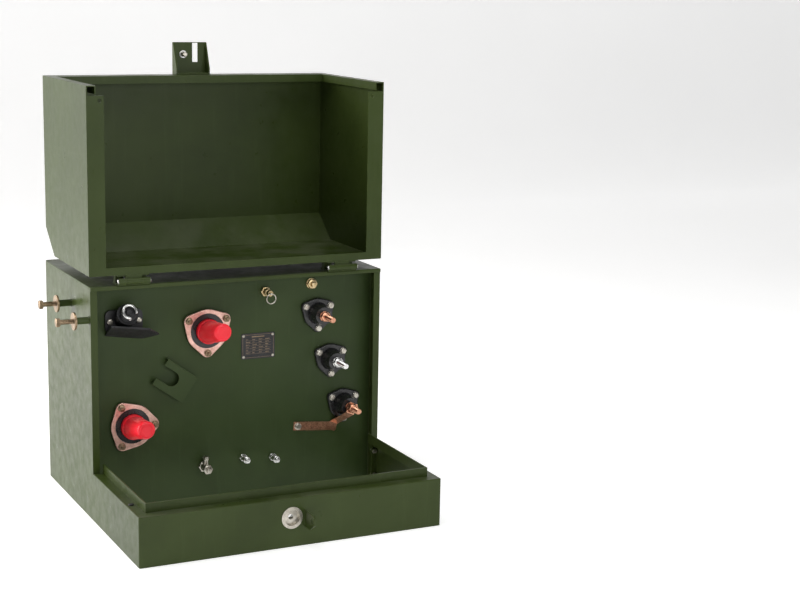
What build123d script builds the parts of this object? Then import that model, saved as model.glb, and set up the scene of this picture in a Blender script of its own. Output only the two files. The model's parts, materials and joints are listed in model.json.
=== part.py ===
from build123d import *
import os
from math import atan2, cos, degrees, hypot, radians, sin

# Single-phase pad-mounted transformer with a hinged clamshell hood.
# Millimetres. X runs along the front, Y to the back, Z up. The plane Y = 0 is the seam between the
# tank behind it and the cable compartment in front of it. The hood stands open, its rest position.

os.makedirs("parts", exist_ok=True)


# ---------------------------------------------------------------- driving dimensions
tank_width = 813.0
tank_depth = 445.0
tank_height = 616.0
tank_wall = 4.0
tank_corner_radius = 12.0
seam_flange = 18.0
cover_thickness = 4.0
cover_lip = 6.0
floor_thickness = 6.0
plate_setback = 50.0
plate_thickness = 5.0

sill_depth = 384.0
sill_height = 127.0
sill_wall = 3.0
ledge_side = 26.0
ledge_front = 30.0
rain_lip = 24.0
base_flange = 45.0
anchor_hole = 18.0
anchor_inset = 24.0
anchor_spacing_y = 260.0

hood_wall = 3.0
hood_overlap_side = 2.0
hood_overlap_front = 40.0
hood_gap_rear = 6.0
hood_top_drop = 5.0
hood_lift = 4.0
chamfer_depth = 84.0
chamfer_height = 70.0
hood_bend = 6.0
hood_seam_flange = 42.0
hood_top_lip = 20.0
hood_hem = 21.0
hood_front_flange = 60.0

hinge_y = -3.0
hinge_rise = 11.0
hinge_radius = 8.0
hinge_length = 83.0
hinge_spacing = 583.0
hinge_pin_radius = 4.0
hinge_leaf = 4.0
hinge_leaf_reach = 48.0
knuckle_gap = 0.3
web_setback = 2.0

running_gap = 0.06
loose_gap = 0.5
seat_gap = 0.2

lock_x = -12.0
lock_z = 76.0
lock_stroke = 38.0
head_height = 12.0
hasp_wall = 4.0
staple_x = 23.5
staple_reach = 61.0

well_places = {"upper": (-80.0, 472.0, -90.0), "lower": (-288.0, 233.0, 0.0)}
lv_places = [(240.0, 495.0), (279.5, 364.5), (319.5, 234.0)]
fuse_place = (-306.0, 515.0)
fuse_tilt = 30.0
stand_place = (-172.5, 345.0)
stand_turn = 144.3
relief_place = (88.0, 565.0)
fill_place = (222.0, 578.0)
drain_place = (-89.0, 98.0)
ground_places = [(24.0, 110.0), (110.0, 102.0)]
strap_bolt_place = (185.0, 180.0)
strap_knee = (290.0, 170.0)
nameplate_place = (68.0, 417.0)

# ---------------------------------------------------------------- derived places
half_width = tank_width / 2
tank_inside = half_width - tank_wall
plate_face = plate_setback
wrapper_height = tank_height - cover_thickness
sill_front = -sill_depth
hood_half = half_width + hood_overlap_side
hood_front = sill_front - hood_overlap_front
hood_rear = -hood_gap_rear
hood_top = tank_height - hood_top_drop
hood_bottom = sill_height + hood_lift
hinge_z = tank_height + hinge_rise
hinge_axis = Axis((0, hinge_y, hinge_z), (1, 0, 0))
rest_front = sill_front - staple_reach
rest_back = 2 * hinge_y - (hood_front - hasp_wall - lock_stroke - seat_gap - head_height)
centre_shift = Pos(0, -(rest_front + rest_back) / 2, 0)
front_wall = Plane(origin=(0, plate_face, 0), x_dir=(1, 0, 0), z_dir=(0, -1, 0))
sill_face = Plane(origin=(0, sill_front, 0), x_dir=(1, 0, 0), z_dir=(0, -1, 0))


def finish(piece, name):
    """Centre a finished piece, label it and write it to its own STEP file."""
    placed = centre_shift * piece
    placed.label = name
    export_step(placed, f"parts/{name}.step")


def opened(piece):
    """Swing a piece of the hood, drawn shut, half a turn about the hinge to its rest position."""
    return piece.rotate(hinge_axis, 180)


def block(low, high):
    """A box between two corners, added to or cut from the part being built."""
    return [
        Location(tuple((a + b) / 2 for a, b in zip(low, high))),
        tuple(b - a for a, b in zip(low, high)),
    ]


def add_block(low, high, mode=Mode.ADD):
    """Add or cut the box between two corners."""
    place, size = block(low, high)
    with Locations(place):
        Box(*size, mode=mode)


def turned(frame, profile):
    """A turned piece: profile points are (radius, distance along the frame's Z)."""
    side = Plane(origin=frame.origin, x_dir=frame.x_dir, z_dir=-frame.y_dir)
    with BuildPart() as body:
        with BuildSketch(side):
            with BuildLine():
                Polyline(*profile, close=True)
            make_face()
        revolve(axis=Axis(frame.origin, frame.z_dir))
    return body.part


def on_wall(x, z):
    """The frame of a fitting on the front plate: Z points out of the tank."""
    return Plane(origin=(x, plate_face, z), x_dir=(1, 0, 0), z_dir=(0, -1, 0))


# ---------------------------------------------------------------- tank
with BuildPart() as tank_wrapper:
    with BuildSketch():
        with Locations((0, tank_depth / 2)):
            outline = Rectangle(tank_width, tank_depth)
        fillet(outline.vertices().group_by(Axis.Y)[-1], tank_corner_radius)
        with BuildSketch(mode=Mode.SUBTRACT):
            with Locations((0, tank_depth / 2)):
                hollow = Rectangle(2 * tank_inside, tank_depth - 2 * tank_wall)
            fillet(hollow.vertices().group_by(Axis.Y)[-1], tank_corner_radius - tank_wall)
        Rectangle(2 * (half_width - seam_flange), 4 * tank_wall, mode=Mode.SUBTRACT)
    extrude(amount=wrapper_height)
    seam_bolt_x = half_width - seam_flange / 2 - 2
    seam_bolt_z = (30.0, 100.0)
    seam_bolt_radius = 4.0
    with BuildSketch(Plane.XZ.offset(-tank_wall)):
        with Locations([(s * seam_bolt_x, z) for s in (-1, 1) for z in seam_bolt_z]):
            Circle(seam_bolt_radius + running_gap)
    extrude(amount=2 * tank_wall, mode=Mode.SUBTRACT)
finish(tank_wrapper.part, "tank_wrapper")

with BuildPart() as tank_floor:
    with BuildSketch():
        with Locations((0, (plate_face + tank_depth - tank_wall) / 2)):
            outline = Rectangle(2 * tank_inside, tank_depth - tank_wall - plate_face)
        fillet(outline.vertices().group_by(Axis.Y)[-1], tank_corner_radius - tank_wall)
    extrude(amount=floor_thickness)
finish(tank_floor.part, "tank_floor")

with BuildPart() as tank_cover:
    with BuildSketch(Plane.XY.offset(wrapper_height)):
        with Locations((0, (tank_depth - cover_thickness) / 2)):
            outline = Rectangle(tank_width, tank_depth + cover_thickness)
        fillet(outline.vertices().group_by(Axis.Y)[-1], tank_corner_radius)
    extrude(amount=cover_thickness)
    add_block((-half_width, -cover_thickness, wrapper_height - cover_lip), (half_width, 0, tank_height))
    fillet(tank_cover.edges().filter_by(Axis.X).group_by(Axis.Y)[0].sort_by(Axis.Z)[-1], 3)
finish(tank_cover.part, "tank_cover")

# ---------------------------------------------------------------- front plate and its holes
well_hole = 44.0
lv_hole = 25.0
fuse_bore = 25.6
fitting_radius = 9.0
stud_radius = 5.0
screw_radius = 4.0

with BuildPart() as front_plate:
    add_block(
        (-tank_inside, plate_face, floor_thickness),
        (tank_inside, plate_face + plate_thickness, wrapper_height),
    )
    with BuildSketch(front_wall):
        with Locations([(x, z) for x, z, turn in well_places.values()]):
            Circle(well_hole)
        with Locations(lv_places):
            Circle(lv_hole)
        with Locations([relief_place, fill_place, drain_place]):
            Circle(fitting_radius + seat_gap)
        with Locations([*ground_places, strap_bolt_place]):
            Circle(stud_radius + running_gap)
    extrude(amount=-plate_thickness, mode=Mode.SUBTRACT)
    fuse_axis = Plane(
        origin=(fuse_place[0], plate_face, fuse_place[1]),
        x_dir=(1, 0, 0),
        z_dir=(0, -cos(radians(fuse_tilt)), sin(radians(fuse_tilt))),
    )
    with BuildSketch(fuse_axis.offset(-10 * plate_thickness)):
        Circle(fuse_bore)
    extrude(amount=16 * plate_thickness, mode=Mode.SUBTRACT)
finish(front_plate.part, "front_plate")

# ---------------------------------------------------------------- sill round the cable compartment
lip_x = half_width - ledge_side
lip_y = sill_front + ledge_front
rim_top = sill_height + rain_lip
cup_hole = 23.0


def u_ring(inset_side, inset_front, thickness_side, thickness_front, low, height, mode=Mode.ADD):
    """A U-shaped band in plan, open at the seam, inset from the sill's outer faces."""
    x_out = half_width - inset_side
    y_out = sill_front + inset_front
    x_in = x_out - thickness_side
    y_in = y_out + thickness_front
    with BuildSketch(Plane.XY.offset(low)) as band:
        with Locations((0, y_out / 2)):
            Rectangle(2 * x_out, -y_out)
        with Locations((0, y_in / 2)):
            Rectangle(2 * x_in, -y_in, mode=Mode.SUBTRACT)
    extrude(band.sketch, amount=height, mode=mode)


with BuildPart() as front_sill:
    u_ring(0, 0, sill_wall, sill_wall, 0, sill_height)
    u_ring(0, 0, ledge_side + sill_wall, ledge_front + sill_wall, sill_height - sill_wall, sill_wall)
    u_ring(ledge_side, ledge_front, sill_wall, sill_wall, sill_height - sill_wall, rain_lip + sill_wall)
    u_ring(0, 0, base_flange, base_flange, 0, sill_wall)
    for side in (-1, 1):
        edge = sorted((side * half_width, side * (half_width - seam_flange)))
        add_block((edge[0], -sill_wall, 0), (edge[1], 0, sill_height))
    corners = front_sill.edges().filter_by(Axis.Z).filter_by(
        lambda e: abs(abs(e.center().X) - half_width) < 0.1 and abs(e.center().Y - sill_front) < 0.1
    )
    fillet(corners, 5)
    top_edges = front_sill.edges().filter_by(Axis.X).filter_by(
        lambda e: abs(e.center().Y - sill_front) < 0.1 and abs(e.center().Z - sill_height) < 0.1
    )
    fillet(top_edges, 2.5)
    with BuildSketch(sill_face.offset(sill_wall)):
        with Locations((lock_x, lock_z)):
            Circle(cup_hole)
    extrude(amount=-3 * sill_wall, mode=Mode.SUBTRACT)
    with BuildSketch(Plane.XZ.offset(-sill_wall)):
        with Locations([(s * seam_bolt_x, z) for s in (-1, 1) for z in seam_bolt_z]):
            Circle(seam_bolt_radius + loose_gap)
    extrude(amount=4 * sill_wall, mode=Mode.SUBTRACT)
    anchor_x = half_width - anchor_inset
    anchor_y = sill_front / 2
    with BuildSketch():
        with Locations((0, anchor_y)):
            with GridLocations(2 * anchor_x, anchor_spacing_y, 2, 2):
                Circle(anchor_hole / 2)
    extrude(amount=sill_wall, mode=Mode.SUBTRACT)
finish(front_sill.part, "front_sill")

bolt_head_height = 6.0
bolt_head_radius = 7.5
with BuildPart() as sill_bolts:
    with BuildSketch(Plane.XZ.offset(sill_wall)):
        with Locations([(s * seam_bolt_x, z) for s in (-1, 1) for z in seam_bolt_z]):
            RegularPolygon(bolt_head_radius, 6)
    extrude(amount=bolt_head_height)
    with BuildSketch(Plane.XZ.offset(sill_wall)):
        with Locations([(s * seam_bolt_x, z) for s in (-1, 1) for z in seam_bolt_z]):
            Circle(seam_bolt_radius)
    extrude(amount=-(sill_wall + 3 * tank_wall))
finish(sill_bolts.part, "sill_bolts")

bumper_height = 3.6
bumper_radius = 7.0
bumper_y = -282.0
with BuildPart() as sill_bumpers:
    with BuildSketch(Plane.XY.offset(sill_height)):
        with Locations([(s * (half_width - ledge_side / 2), bumper_y) for s in (-1, 1)]):
            Circle(bumper_radius)
    extrude(amount=bumper_height)
finish(sill_bumpers.part, "sill_bumpers")

# ---------------------------------------------------------------- padlock staple and lock cup on the sill
staple_thickness = 5.0
staple_low = 50.0
staple_high = 92.0
staple_hole = 7.0
staple_hole_inset = 13.0
staple_tip = sill_front - staple_reach
with BuildPart() as padlock_staple:
    with BuildSketch(Plane.YZ.offset(staple_x - staple_thickness / 2)):
        with BuildLine():
            Polyline(
                (sill_front, staple_low),
                (sill_front - staple_reach + 27, staple_low),
                (staple_tip, staple_low + 18),
                (staple_tip, staple_high - 8),
                (staple_tip + 8, staple_high),
                (sill_front, staple_high),
                close=True,
            )
        make_face()
        with Locations((staple_tip + staple_hole_inset, staple_high - 16)):
            Circle(staple_hole, mode=Mode.SUBTRACT)
    extrude(amount=staple_thickness)
finish(padlock_staple.part, "padlock_staple")

cup_flange = 28.0
cup_radius = 22.5
cup_depth = 10.0
cup_wall = 2.0
nut_thickness = 14.0
bolt_radius = 6.5
lock_frame = Plane(origin=(lock_x, sill_front, lock_z), x_dir=(1, 0, 0), z_dir=(0, -1, 0))
lock_cup = turned(
    lock_frame,
    [
        (bolt_radius + loose_gap, -cup_depth),
        (cup_radius, -cup_depth),
        (cup_radius, 0),
        (cup_flange, 0),
        (cup_flange, cup_wall),
        (cup_radius - cup_wall, cup_wall),
        (cup_radius - cup_wall, cup_wall - cup_depth),
        (bolt_radius + loose_gap, cup_wall - cup_depth),
    ],
)
finish(lock_cup, "lock_cup")

with BuildPart() as lock_nut:
    with BuildSketch(lock_frame.offset(-cup_depth)):
        RegularPolygon(14, 6)
        Circle(bolt_radius + running_gap, mode=Mode.SUBTRACT)
    extrude(amount=-nut_thickness)
finish(lock_nut.part, "lock_nut")

# ---------------------------------------------------------------- lifting bolts on both sides of the tank
lift_places = [(180.0, 545.0), (14.0, 530.0)]
lift_rear_inset = 40.0
lift_places_right = [(tank_depth - 180.0, 545.0), (tank_depth - lift_rear_inset, 530.0)]
boss_radius = 9.0
boss_length = 36.0
washer_radius = 23.0
washer_thickness = 6.0
lift_bolt_radius = 6.35
lift_bolt_shank = 34.0
lift_head_radius = 12.0
lift_head_height = 10.0
boss_bore_depth = 26.0
left_wall = Plane(origin=(-half_width, 0, 0), x_dir=(0, -1, 0), z_dir=(-1, 0, 0))
right_wall = Plane(origin=(half_width, 0, 0), x_dir=(0, 1, 0), z_dir=(1, 0, 0))
lift_frames = [(left_wall, [(-y, z) for y, z in lift_places]), (right_wall, lift_places_right)]

with BuildPart() as lifting_bosses:
    for wall, places in lift_frames:
        with BuildSketch(wall):
            with Locations(places):
                Circle(boss_radius)
        extrude(amount=boss_length)
        with BuildSketch(wall.offset(boss_length)):
            with Locations(places):
                Circle(lift_bolt_radius + running_gap)
        extrude(amount=-boss_bore_depth, mode=Mode.SUBTRACT)
finish(lifting_bosses.part, "lifting_bosses")

with BuildPart() as lifting_washers:
    for wall, places in lift_frames:
        with BuildSketch(wall.offset(boss_length)):
            with Locations(places):
                Circle(washer_radius)
                Circle(lift_bolt_radius + loose_gap, mode=Mode.SUBTRACT)
        extrude(amount=washer_thickness)
finish(lifting_washers.part, "lifting_washers")

with BuildPart() as lifting_bolts:
    for wall, places in lift_frames:
        with BuildSketch(wall.offset(boss_length - boss_bore_depth + 2)):
            with Locations(places):
                Circle(lift_bolt_radius)
        extrude(amount=boss_bore_depth - 2 + washer_thickness + lift_bolt_shank)
        with BuildSketch(wall.offset(boss_length + washer_thickness + lift_bolt_shank)):
            with Locations(places):
                RegularPolygon(lift_head_radius, 6)
        extrude(amount=lift_head_height)
finish(lifting_bolts.part, "lifting_bolts")

# ---------------------------------------------------------------- hood, drawn shut


def hood_outline(extra):
    """Side profile of the hood, its open rear and bottom edges moved out by extra."""
    return [
        (hood_rear + extra, hood_top),
        (hood_front + chamfer_depth, hood_top),
        (hood_front, hood_top - chamfer_height),
        (hood_front, hood_bottom - extra),
        (hood_rear + extra, hood_bottom - extra),
    ]


with BuildPart() as hood_shell:
    with BuildSketch(Plane.YZ):
        with BuildLine():
            Polyline(*hood_outline(0), close=True)
        outline = make_face()
        top_bend = outline.vertices().group_by(Axis.Y)[-1].sort_by(Axis.X)[0]
        knee = outline.vertices().group_by(Axis.Y)[1]
        fillet([top_bend, *knee], hood_bend)
    extrude(amount=hood_half, both=True)
    with BuildSketch(Plane.YZ):
        with BuildLine():
            Polyline(*hood_outline(hood_wall + 1), close=True)
        make_face()
        offset(amount=-hood_wall, kind=Kind.INTERSECTION)
    extrude(amount=hood_half - hood_wall, both=True, mode=Mode.SUBTRACT)
    inner = hood_half - hood_wall
    seam_inner = inner - hood_seam_flange
    hem_x = lip_x + 3
    hem_y = hood_front + hood_wall + hood_front_flange
    for side in (-1, 1):
        flange = sorted((side * inner, side * seam_inner))
        add_block(
            (flange[0], hood_rear - hood_wall, rim_top + 5),
            (flange[1], hood_rear, hood_top - hood_wall),
        )
        ledge = sorted((side * inner, side * hem_x))
        add_block(
            (ledge[0], hood_front + hood_wall, hood_bottom),
            (ledge[1], hood_rear, hood_bottom + hood_wall),
        )
        hem = sorted((side * (hem_x + hood_wall), side * hem_x))
        add_block((hem[0], hem_y, hood_bottom), (hem[1], hood_rear, hood_bottom + hood_hem))
    add_block(
        (-inner, hood_rear - hood_wall, hood_top - hood_top_lip),
        (inner, hood_rear, hood_top - hood_wall),
    )
    add_block((-inner, hood_front + hood_wall, hood_bottom), (inner, hem_y, hood_bottom + hood_wall))
    add_block((-inner, hem_y - hood_wall, hood_bottom), (inner, hem_y, hood_bottom + hood_hem))
    corner_hole = 5.0
    with BuildSketch(Plane.XZ.offset(-hood_rear)):
        with Locations([(s * (inner - 31), rim_top + 17) for s in (-1, 1)]):
            Circle(corner_hole)
    extrude(amount=4 * hood_wall, both=True, mode=Mode.SUBTRACT)
    uprights = hood_shell.edges().filter_by(Axis.Z).filter_by(
        lambda e: abs(abs(e.center().X) - hood_half) < 0.1 and abs(e.center().Y - hood_front) < 0.1
    )
    fillet(uprights, 2.5)
finish(opened(hood_shell.part), "hood_shell")

# ---------------------------------------------------------------- hasp bracket on the hood's front edge
hasp_low_x = -42.0
hasp_high_x = 56.0
hasp_bottom = 43.0
hasp_shelf = 32.0
hasp_lap = 14.0
slot_width = 16.0
slot_low = 45.0
slot_high = 98.0
head_radius = 11.0
collar_radius = 21.0
collar_bore = 17.0
collar_length = 14.0
hasp_face = hood_front - hasp_wall
hasp_frame = Plane(origin=(0, hasp_face, 0), x_dir=(1, 0, 0), z_dir=(0, -1, 0))

with BuildPart() as hasp_bracket:
    add_block((hasp_low_x, hasp_face, hasp_bottom), (hasp_high_x, hood_front, hood_bottom + hasp_lap))
    add_block(
        (hasp_low_x, hood_front, hood_bottom - hasp_wall),
        (hasp_high_x, hood_front + hasp_shelf, hood_bottom),
    )
    for x in (hasp_low_x, hasp_high_x - hasp_wall):
        with BuildSketch(Plane.YZ.offset(x)):
            with BuildLine():
                Polyline(
                    (hood_front, hasp_bottom),
                    (hood_front + hasp_wall, hasp_bottom),
                    (hood_front + hasp_shelf, hood_bottom - 16),
                    (hood_front + hasp_shelf, hood_bottom),
                    (hood_front, hood_bottom),
                    close=True,
                )
            make_face()
        extrude(amount=hasp_wall)
    with BuildSketch(hasp_frame):
        with Locations((lock_x, lock_z)):
            Circle(collar_radius)
            Circle(collar_bore, mode=Mode.SUBTRACT)
    extrude(amount=collar_length)
    with BuildSketch(hasp_frame):
        with Locations((lock_x, lock_z)):
            Circle(bolt_radius + running_gap)
        with Locations((staple_x, (slot_low + slot_high) / 2)):
            Rectangle(slot_width, slot_high - slot_low)
    extrude(amount=-hasp_wall, mode=Mode.SUBTRACT)
finish(opened(hasp_bracket.part), "hasp_bracket")

# ---------------------------------------------------------------- captive lock bolt, held back from the nut
tip_behind = 22.0
shank_length = lock_stroke + seat_gap + hasp_wall + tip_behind
clip_thickness = 2.0
clip_radius = 10.5
clip_back = hood_front + seat_gap
drawn_back = Plane(
    origin=(lock_x, hasp_face - lock_stroke - seat_gap, lock_z), x_dir=(1, 0, 0), z_dir=(0, -1, 0)
)

with BuildPart() as lock_bolt:
    with BuildSketch(drawn_back):
        RegularPolygon(head_radius, 5)
    extrude(amount=head_height)
    with BuildSketch(drawn_back):
        Circle(bolt_radius)
    extrude(amount=-shank_length)
    chamfer(lock_bolt.edges().sort_by(Axis.Y)[-1], 1.5)
finish(opened(lock_bolt.part), "lock_bolt")

with BuildPart() as lock_clip:
    with BuildSketch(Plane(origin=(lock_x, clip_back, lock_z), x_dir=(1, 0, 0), z_dir=(0, 1, 0))):
        Circle(clip_radius)
        Circle(bolt_radius + running_gap, mode=Mode.SUBTRACT)
    extrude(amount=clip_thickness)
finish(opened(lock_clip.part), "lock_clip")

# ---------------------------------------------------------------- hinges
end_knuckle = 20.0
stop_low_y = 24.0
stop_high_y = 42.0
hood_leaf_top = hood_top + hinge_leaf


def hinge_span(side):
    """The two ends of one hinge along X."""
    middle = side * hinge_spacing / 2
    return middle - hinge_length / 2, middle + hinge_length / 2


def hinge_line(x_from):
    """The hinge axis as a frame that starts at x_from, its Z along the axis."""
    return Plane(origin=(x_from, hinge_y, hinge_z), x_dir=(0, 1, 0), z_dir=(1, 0, 0))


def barrel(x_from, x_to, radius=hinge_radius, mode=Mode.ADD):
    """A length of hinge barrel, or of its bore."""
    with BuildSketch(hinge_line(x_from)) as disc:
        Circle(radius)
    extrude(disc.sketch, amount=x_to - x_from, mode=mode)


with BuildPart() as hinge_bases:
    for side in (-1, 1):
        x_low, x_high = hinge_span(side)
        add_block(
            (x_low, hinge_y, tank_height),
            (x_high, hinge_leaf_reach, tank_height + hinge_leaf),
        )
        for x_from, x_to in ((x_low, x_low + end_knuckle), (x_high - end_knuckle, x_high)):
            add_block((x_from, hinge_y, tank_height), (x_to, hinge_y + hinge_radius, hinge_z))
            barrel(x_from, x_to)
            stop_top = 2 * hinge_z - hood_leaf_top - seat_gap
            add_block((x_from, stop_low_y, tank_height), (x_to, stop_high_y, stop_top))
        barrel(x_low + end_knuckle, x_high - end_knuckle, hinge_radius + 2 * knuckle_gap, Mode.SUBTRACT)
        barrel(x_low, x_high, hinge_pin_radius + running_gap, Mode.SUBTRACT)
finish(hinge_bases.part, "hinge_bases")

for name, side in (("left", -1), ("right", 1)):
    x_low, x_high = hinge_span(side)
    m_low = x_low + end_knuckle + knuckle_gap
    m_high = x_high - end_knuckle - knuckle_gap
    with BuildPart() as hinge_leaf_hood:
        add_block(
            (x_low, hood_rear - hinge_leaf_reach, hood_top),
            (x_high, hood_rear - 2, hood_leaf_top),
        )
        add_block((m_low, hinge_y - hinge_radius, hood_top), (m_high, hinge_y - web_setback, hinge_z))
        barrel(m_low, m_high)
        barrel(x_low, x_high, hinge_pin_radius + running_gap, Mode.SUBTRACT)
    finish(opened(hinge_leaf_hood.part), f"hinge_leaf_{name}")

pin_head_radius = 6.5
pin_head = 3.0
with BuildPart() as hinge_pins:
    for side in (-1, 1):
        x_low, x_high = hinge_span(side)
        barrel_axis = hinge_line(x_low - seat_gap)
        reach = hinge_length + 2 * seat_gap
        with BuildSketch(barrel_axis):
            Circle(hinge_pin_radius)
        extrude(amount=reach)
        with BuildSketch(barrel_axis):
            Circle(pin_head_radius)
        extrude(amount=-pin_head)
        with BuildSketch(barrel_axis.offset(reach)):
            Circle(pin_head_radius)
        extrude(amount=pin_head)
finish(hinge_pins.part, "hinge_pins")

# ---------------------------------------------------------------- high-voltage bushing wells
gasket_thickness = 2.0
well_flange_radius = 54.0
well_flange = 6.0
well_collar_radius = 46.4
well_neck_radius = 42.6
well_face = 16.0
well_mouth = 34.0
well_bottom_radius = 24.0
well_depth = 60.0
well_back = 75.0
well_back_radius = 33.0
well_stud_reach = 100.0
clamp_hole = 47.0
clamp_ring = 58.0
clamp_lobe_circle = 53.0
clamp_lobe = 19.0
clamp_bolt_circle = 60.0
clamp_thickness = 6.0
clamp_bolt = 4.8
clamp_seat = gasket_thickness + well_flange

for name, (x, z, turn) in well_places.items():
    frame = on_wall(x, z)
    body = turned(
        frame,
        [
            (0, -well_depth),
            (well_bottom_radius, -well_depth),
            (well_mouth, well_face),
            (well_collar_radius, well_face),
            (well_collar_radius, clamp_seat),
            (well_flange_radius, clamp_seat),
            (well_flange_radius, gasket_thickness),
            (well_neck_radius, gasket_thickness),
            (well_neck_radius, -plate_thickness - 6),
            (well_back_radius, -well_back),
            (0, -well_back),
        ],
    )
    with BuildPart() as hv_well:
        add(body)
        with BuildSketch(frame.offset(-well_back)):
            Circle(stud_radius + running_gap)
        extrude(amount=well_back - well_depth, mode=Mode.SUBTRACT)
    finish(hv_well.part, f"hv_well_{name}")

    with BuildPart() as hv_clamp:
        with BuildSketch(frame.offset(clamp_seat)):
            Circle(clamp_ring)
            with PolarLocations(clamp_lobe_circle, 3, start_angle=turn):
                Circle(clamp_lobe)
            make_hull()
            Circle(clamp_hole, mode=Mode.SUBTRACT)
            with PolarLocations(clamp_bolt_circle, 3, start_angle=turn):
                Circle(clamp_bolt + loose_gap, mode=Mode.SUBTRACT)
        extrude(amount=clamp_thickness)
        fillet(hv_clamp.faces().sort_by(Axis.Y)[0].outer_wire().edges(), 2)
    finish(hv_clamp.part, f"hv_clamp_{name}")

with BuildPart() as hv_studs:
    for x, z, turn in well_places.values():
        frame = on_wall(x, z)
        with BuildSketch(frame.offset(-well_stud_reach)):
            Circle(stud_radius)
        extrude(amount=well_stud_reach - 22)
finish(hv_studs.part, "hv_studs")

with BuildPart() as hv_gaskets:
    for x, z, turn in well_places.values():
        with BuildSketch(on_wall(x, z)):
            Circle(well_flange_radius)
            Circle(well_hole, mode=Mode.SUBTRACT)
        extrude(amount=gasket_thickness)
finish(hv_gaskets.part, "hv_gaskets")

nut_height = 8.0
nut_radius = 9.5
with BuildPart() as hv_clamp_nuts:
    for x, z, turn in well_places.values():
        frame = on_wall(x, z)
        for offset_from, radius, sides, length in (
            (0, clamp_bolt, 0, clamp_seat + clamp_thickness + nut_height + 4),
            (clamp_seat + clamp_thickness, nut_radius, 6, nut_height),
        ):
            with BuildSketch(frame.offset(offset_from)):
                with PolarLocations(clamp_bolt_circle, 3, start_angle=turn):
                    if sides:
                        RegularPolygon(radius, sides)
                    else:
                        Circle(radius)
            extrude(amount=length)
finish(hv_clamp_nuts.part, "hv_clamp_nuts")

# ---------------------------------------------------------------- red shipping caps
cap_radius = 33.0
cap_band = 14.0
cap_nose_radius = 24.0
cap_end = 133.0
cap_lean_x = 0.0
cap_lean_z = 20.0
cap_plug_radius = 28.0
cap_plug_tip = 25.5
cap_plug_depth = 20.0
cap_seat = well_face + seat_gap

for name, (x, z, turn) in well_places.items():
    frame = on_wall(x, z)
    with BuildPart() as hv_cap:
        with BuildSketch(frame.offset(cap_seat)):
            Circle(cap_radius)
        extrude(amount=cap_band)
        with BuildSketch(frame.offset(cap_seat + cap_band)):
            Circle(cap_radius - 2)
        with BuildSketch(frame.offset(cap_end)):
            with Locations((cap_lean_x, cap_lean_z)):
                Circle(cap_nose_radius)
        loft()
        fillet(hv_cap.faces().sort_by(Axis.Y)[0].outer_wire().edges(), 7)
        with BuildSketch(frame.offset(cap_seat)):
            Circle(cap_plug_radius)
        with BuildSketch(frame.offset(cap_seat - cap_plug_depth)):
            Circle(cap_plug_tip)
        loft()
        with BuildSketch(frame.offset(cap_seat - cap_plug_depth)):
            Circle(cap_plug_tip - 4)
        extrude(amount=cap_plug_depth + cap_band, mode=Mode.SUBTRACT)
    finish(hv_cap.part, f"hv_cap_{name}")

# ---------------------------------------------------------------- low-voltage bushings
lv_bolt_circle = 41.0
lv_lobe = 12.0
lv_ring = 42.0
lv_flange_thickness = 10.0
lv_body_base = 31.0
lv_body_top = 24.0
lv_body_reach = 52.0
lv_inner_radius = 24.0
lv_inner_reach = 45.0
lv_stud_radius = 8.0
lv_stud_outer = 112.0
lv_stud_inner = 68.0
lv_nut_radius = 14.0
lv_nut_height = 12.0
strap_thickness = 1.6
strap_width = 24.0
strap_seat = lv_body_reach + strap_thickness + 2 * seat_gap + lv_nut_height + seat_gap
lv_turn = -90.0
lv_bolt_radius = 4.0
lv_seat = gasket_thickness

for number, (x, z) in enumerate(lv_places, start=1):
    frame = on_wall(x, z)
    with BuildPart() as lv_bushing:
        with BuildSketch(frame.offset(lv_seat)):
            Circle(lv_ring)
            with PolarLocations(lv_bolt_circle, 3, start_angle=lv_turn):
                Circle(lv_lobe)
            make_hull()
        extrude(amount=lv_flange_thickness)
        fillet(lv_bushing.faces().sort_by(Axis.Y)[0].outer_wire().edges(), 3)
        with BuildSketch(frame.offset(lv_seat + lv_flange_thickness)):
            Circle(lv_body_base)
        with BuildSketch(frame.offset(lv_body_reach)):
            Circle(lv_body_top)
        loft()
        with BuildSketch(frame.offset(lv_seat)):
            Circle(lv_inner_radius)
        extrude(amount=-(lv_seat + lv_inner_reach))
        with BuildSketch(frame.offset(lv_body_reach)):
            Circle(lv_stud_radius + running_gap)
        extrude(amount=-(lv_body_reach + lv_inner_reach), mode=Mode.SUBTRACT)
        with BuildSketch(frame.offset(lv_seat + lv_flange_thickness)):
            with PolarLocations(lv_bolt_circle, 3, start_angle=lv_turn):
                Circle(lv_bolt_radius + loose_gap)
        extrude(amount=-lv_flange_thickness, mode=Mode.SUBTRACT)
    finish(lv_bushing.part, f"lv_bushing_{number}")

    with BuildPart() as lv_stud:
        with BuildSketch(frame.offset(-lv_stud_inner)):
            Circle(lv_stud_radius)
        extrude(amount=lv_stud_inner + lv_stud_outer)
        with BuildSketch(frame.offset(lv_body_reach + strap_thickness + 2 * seat_gap)):
            RegularPolygon(lv_nut_radius, 6)
        extrude(amount=lv_nut_height)
        if number == len(lv_places):
            with BuildSketch(frame.offset(strap_seat + strap_thickness + seat_gap)):
                RegularPolygon(lv_nut_radius, 6)
            extrude(amount=lv_nut_height)
        chamfer(lv_stud.edges().sort_by(Axis.Y)[0], 1.5)
    finish(lv_stud.part, f"lv_stud_{number}")

with BuildPart() as lv_gaskets:
    for x, z in lv_places:
        with BuildSketch(on_wall(x, z)):
            Circle(lv_ring - 6)
            Circle(lv_hole, mode=Mode.SUBTRACT)
        extrude(amount=gasket_thickness)
finish(lv_gaskets.part, "lv_gaskets")

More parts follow.
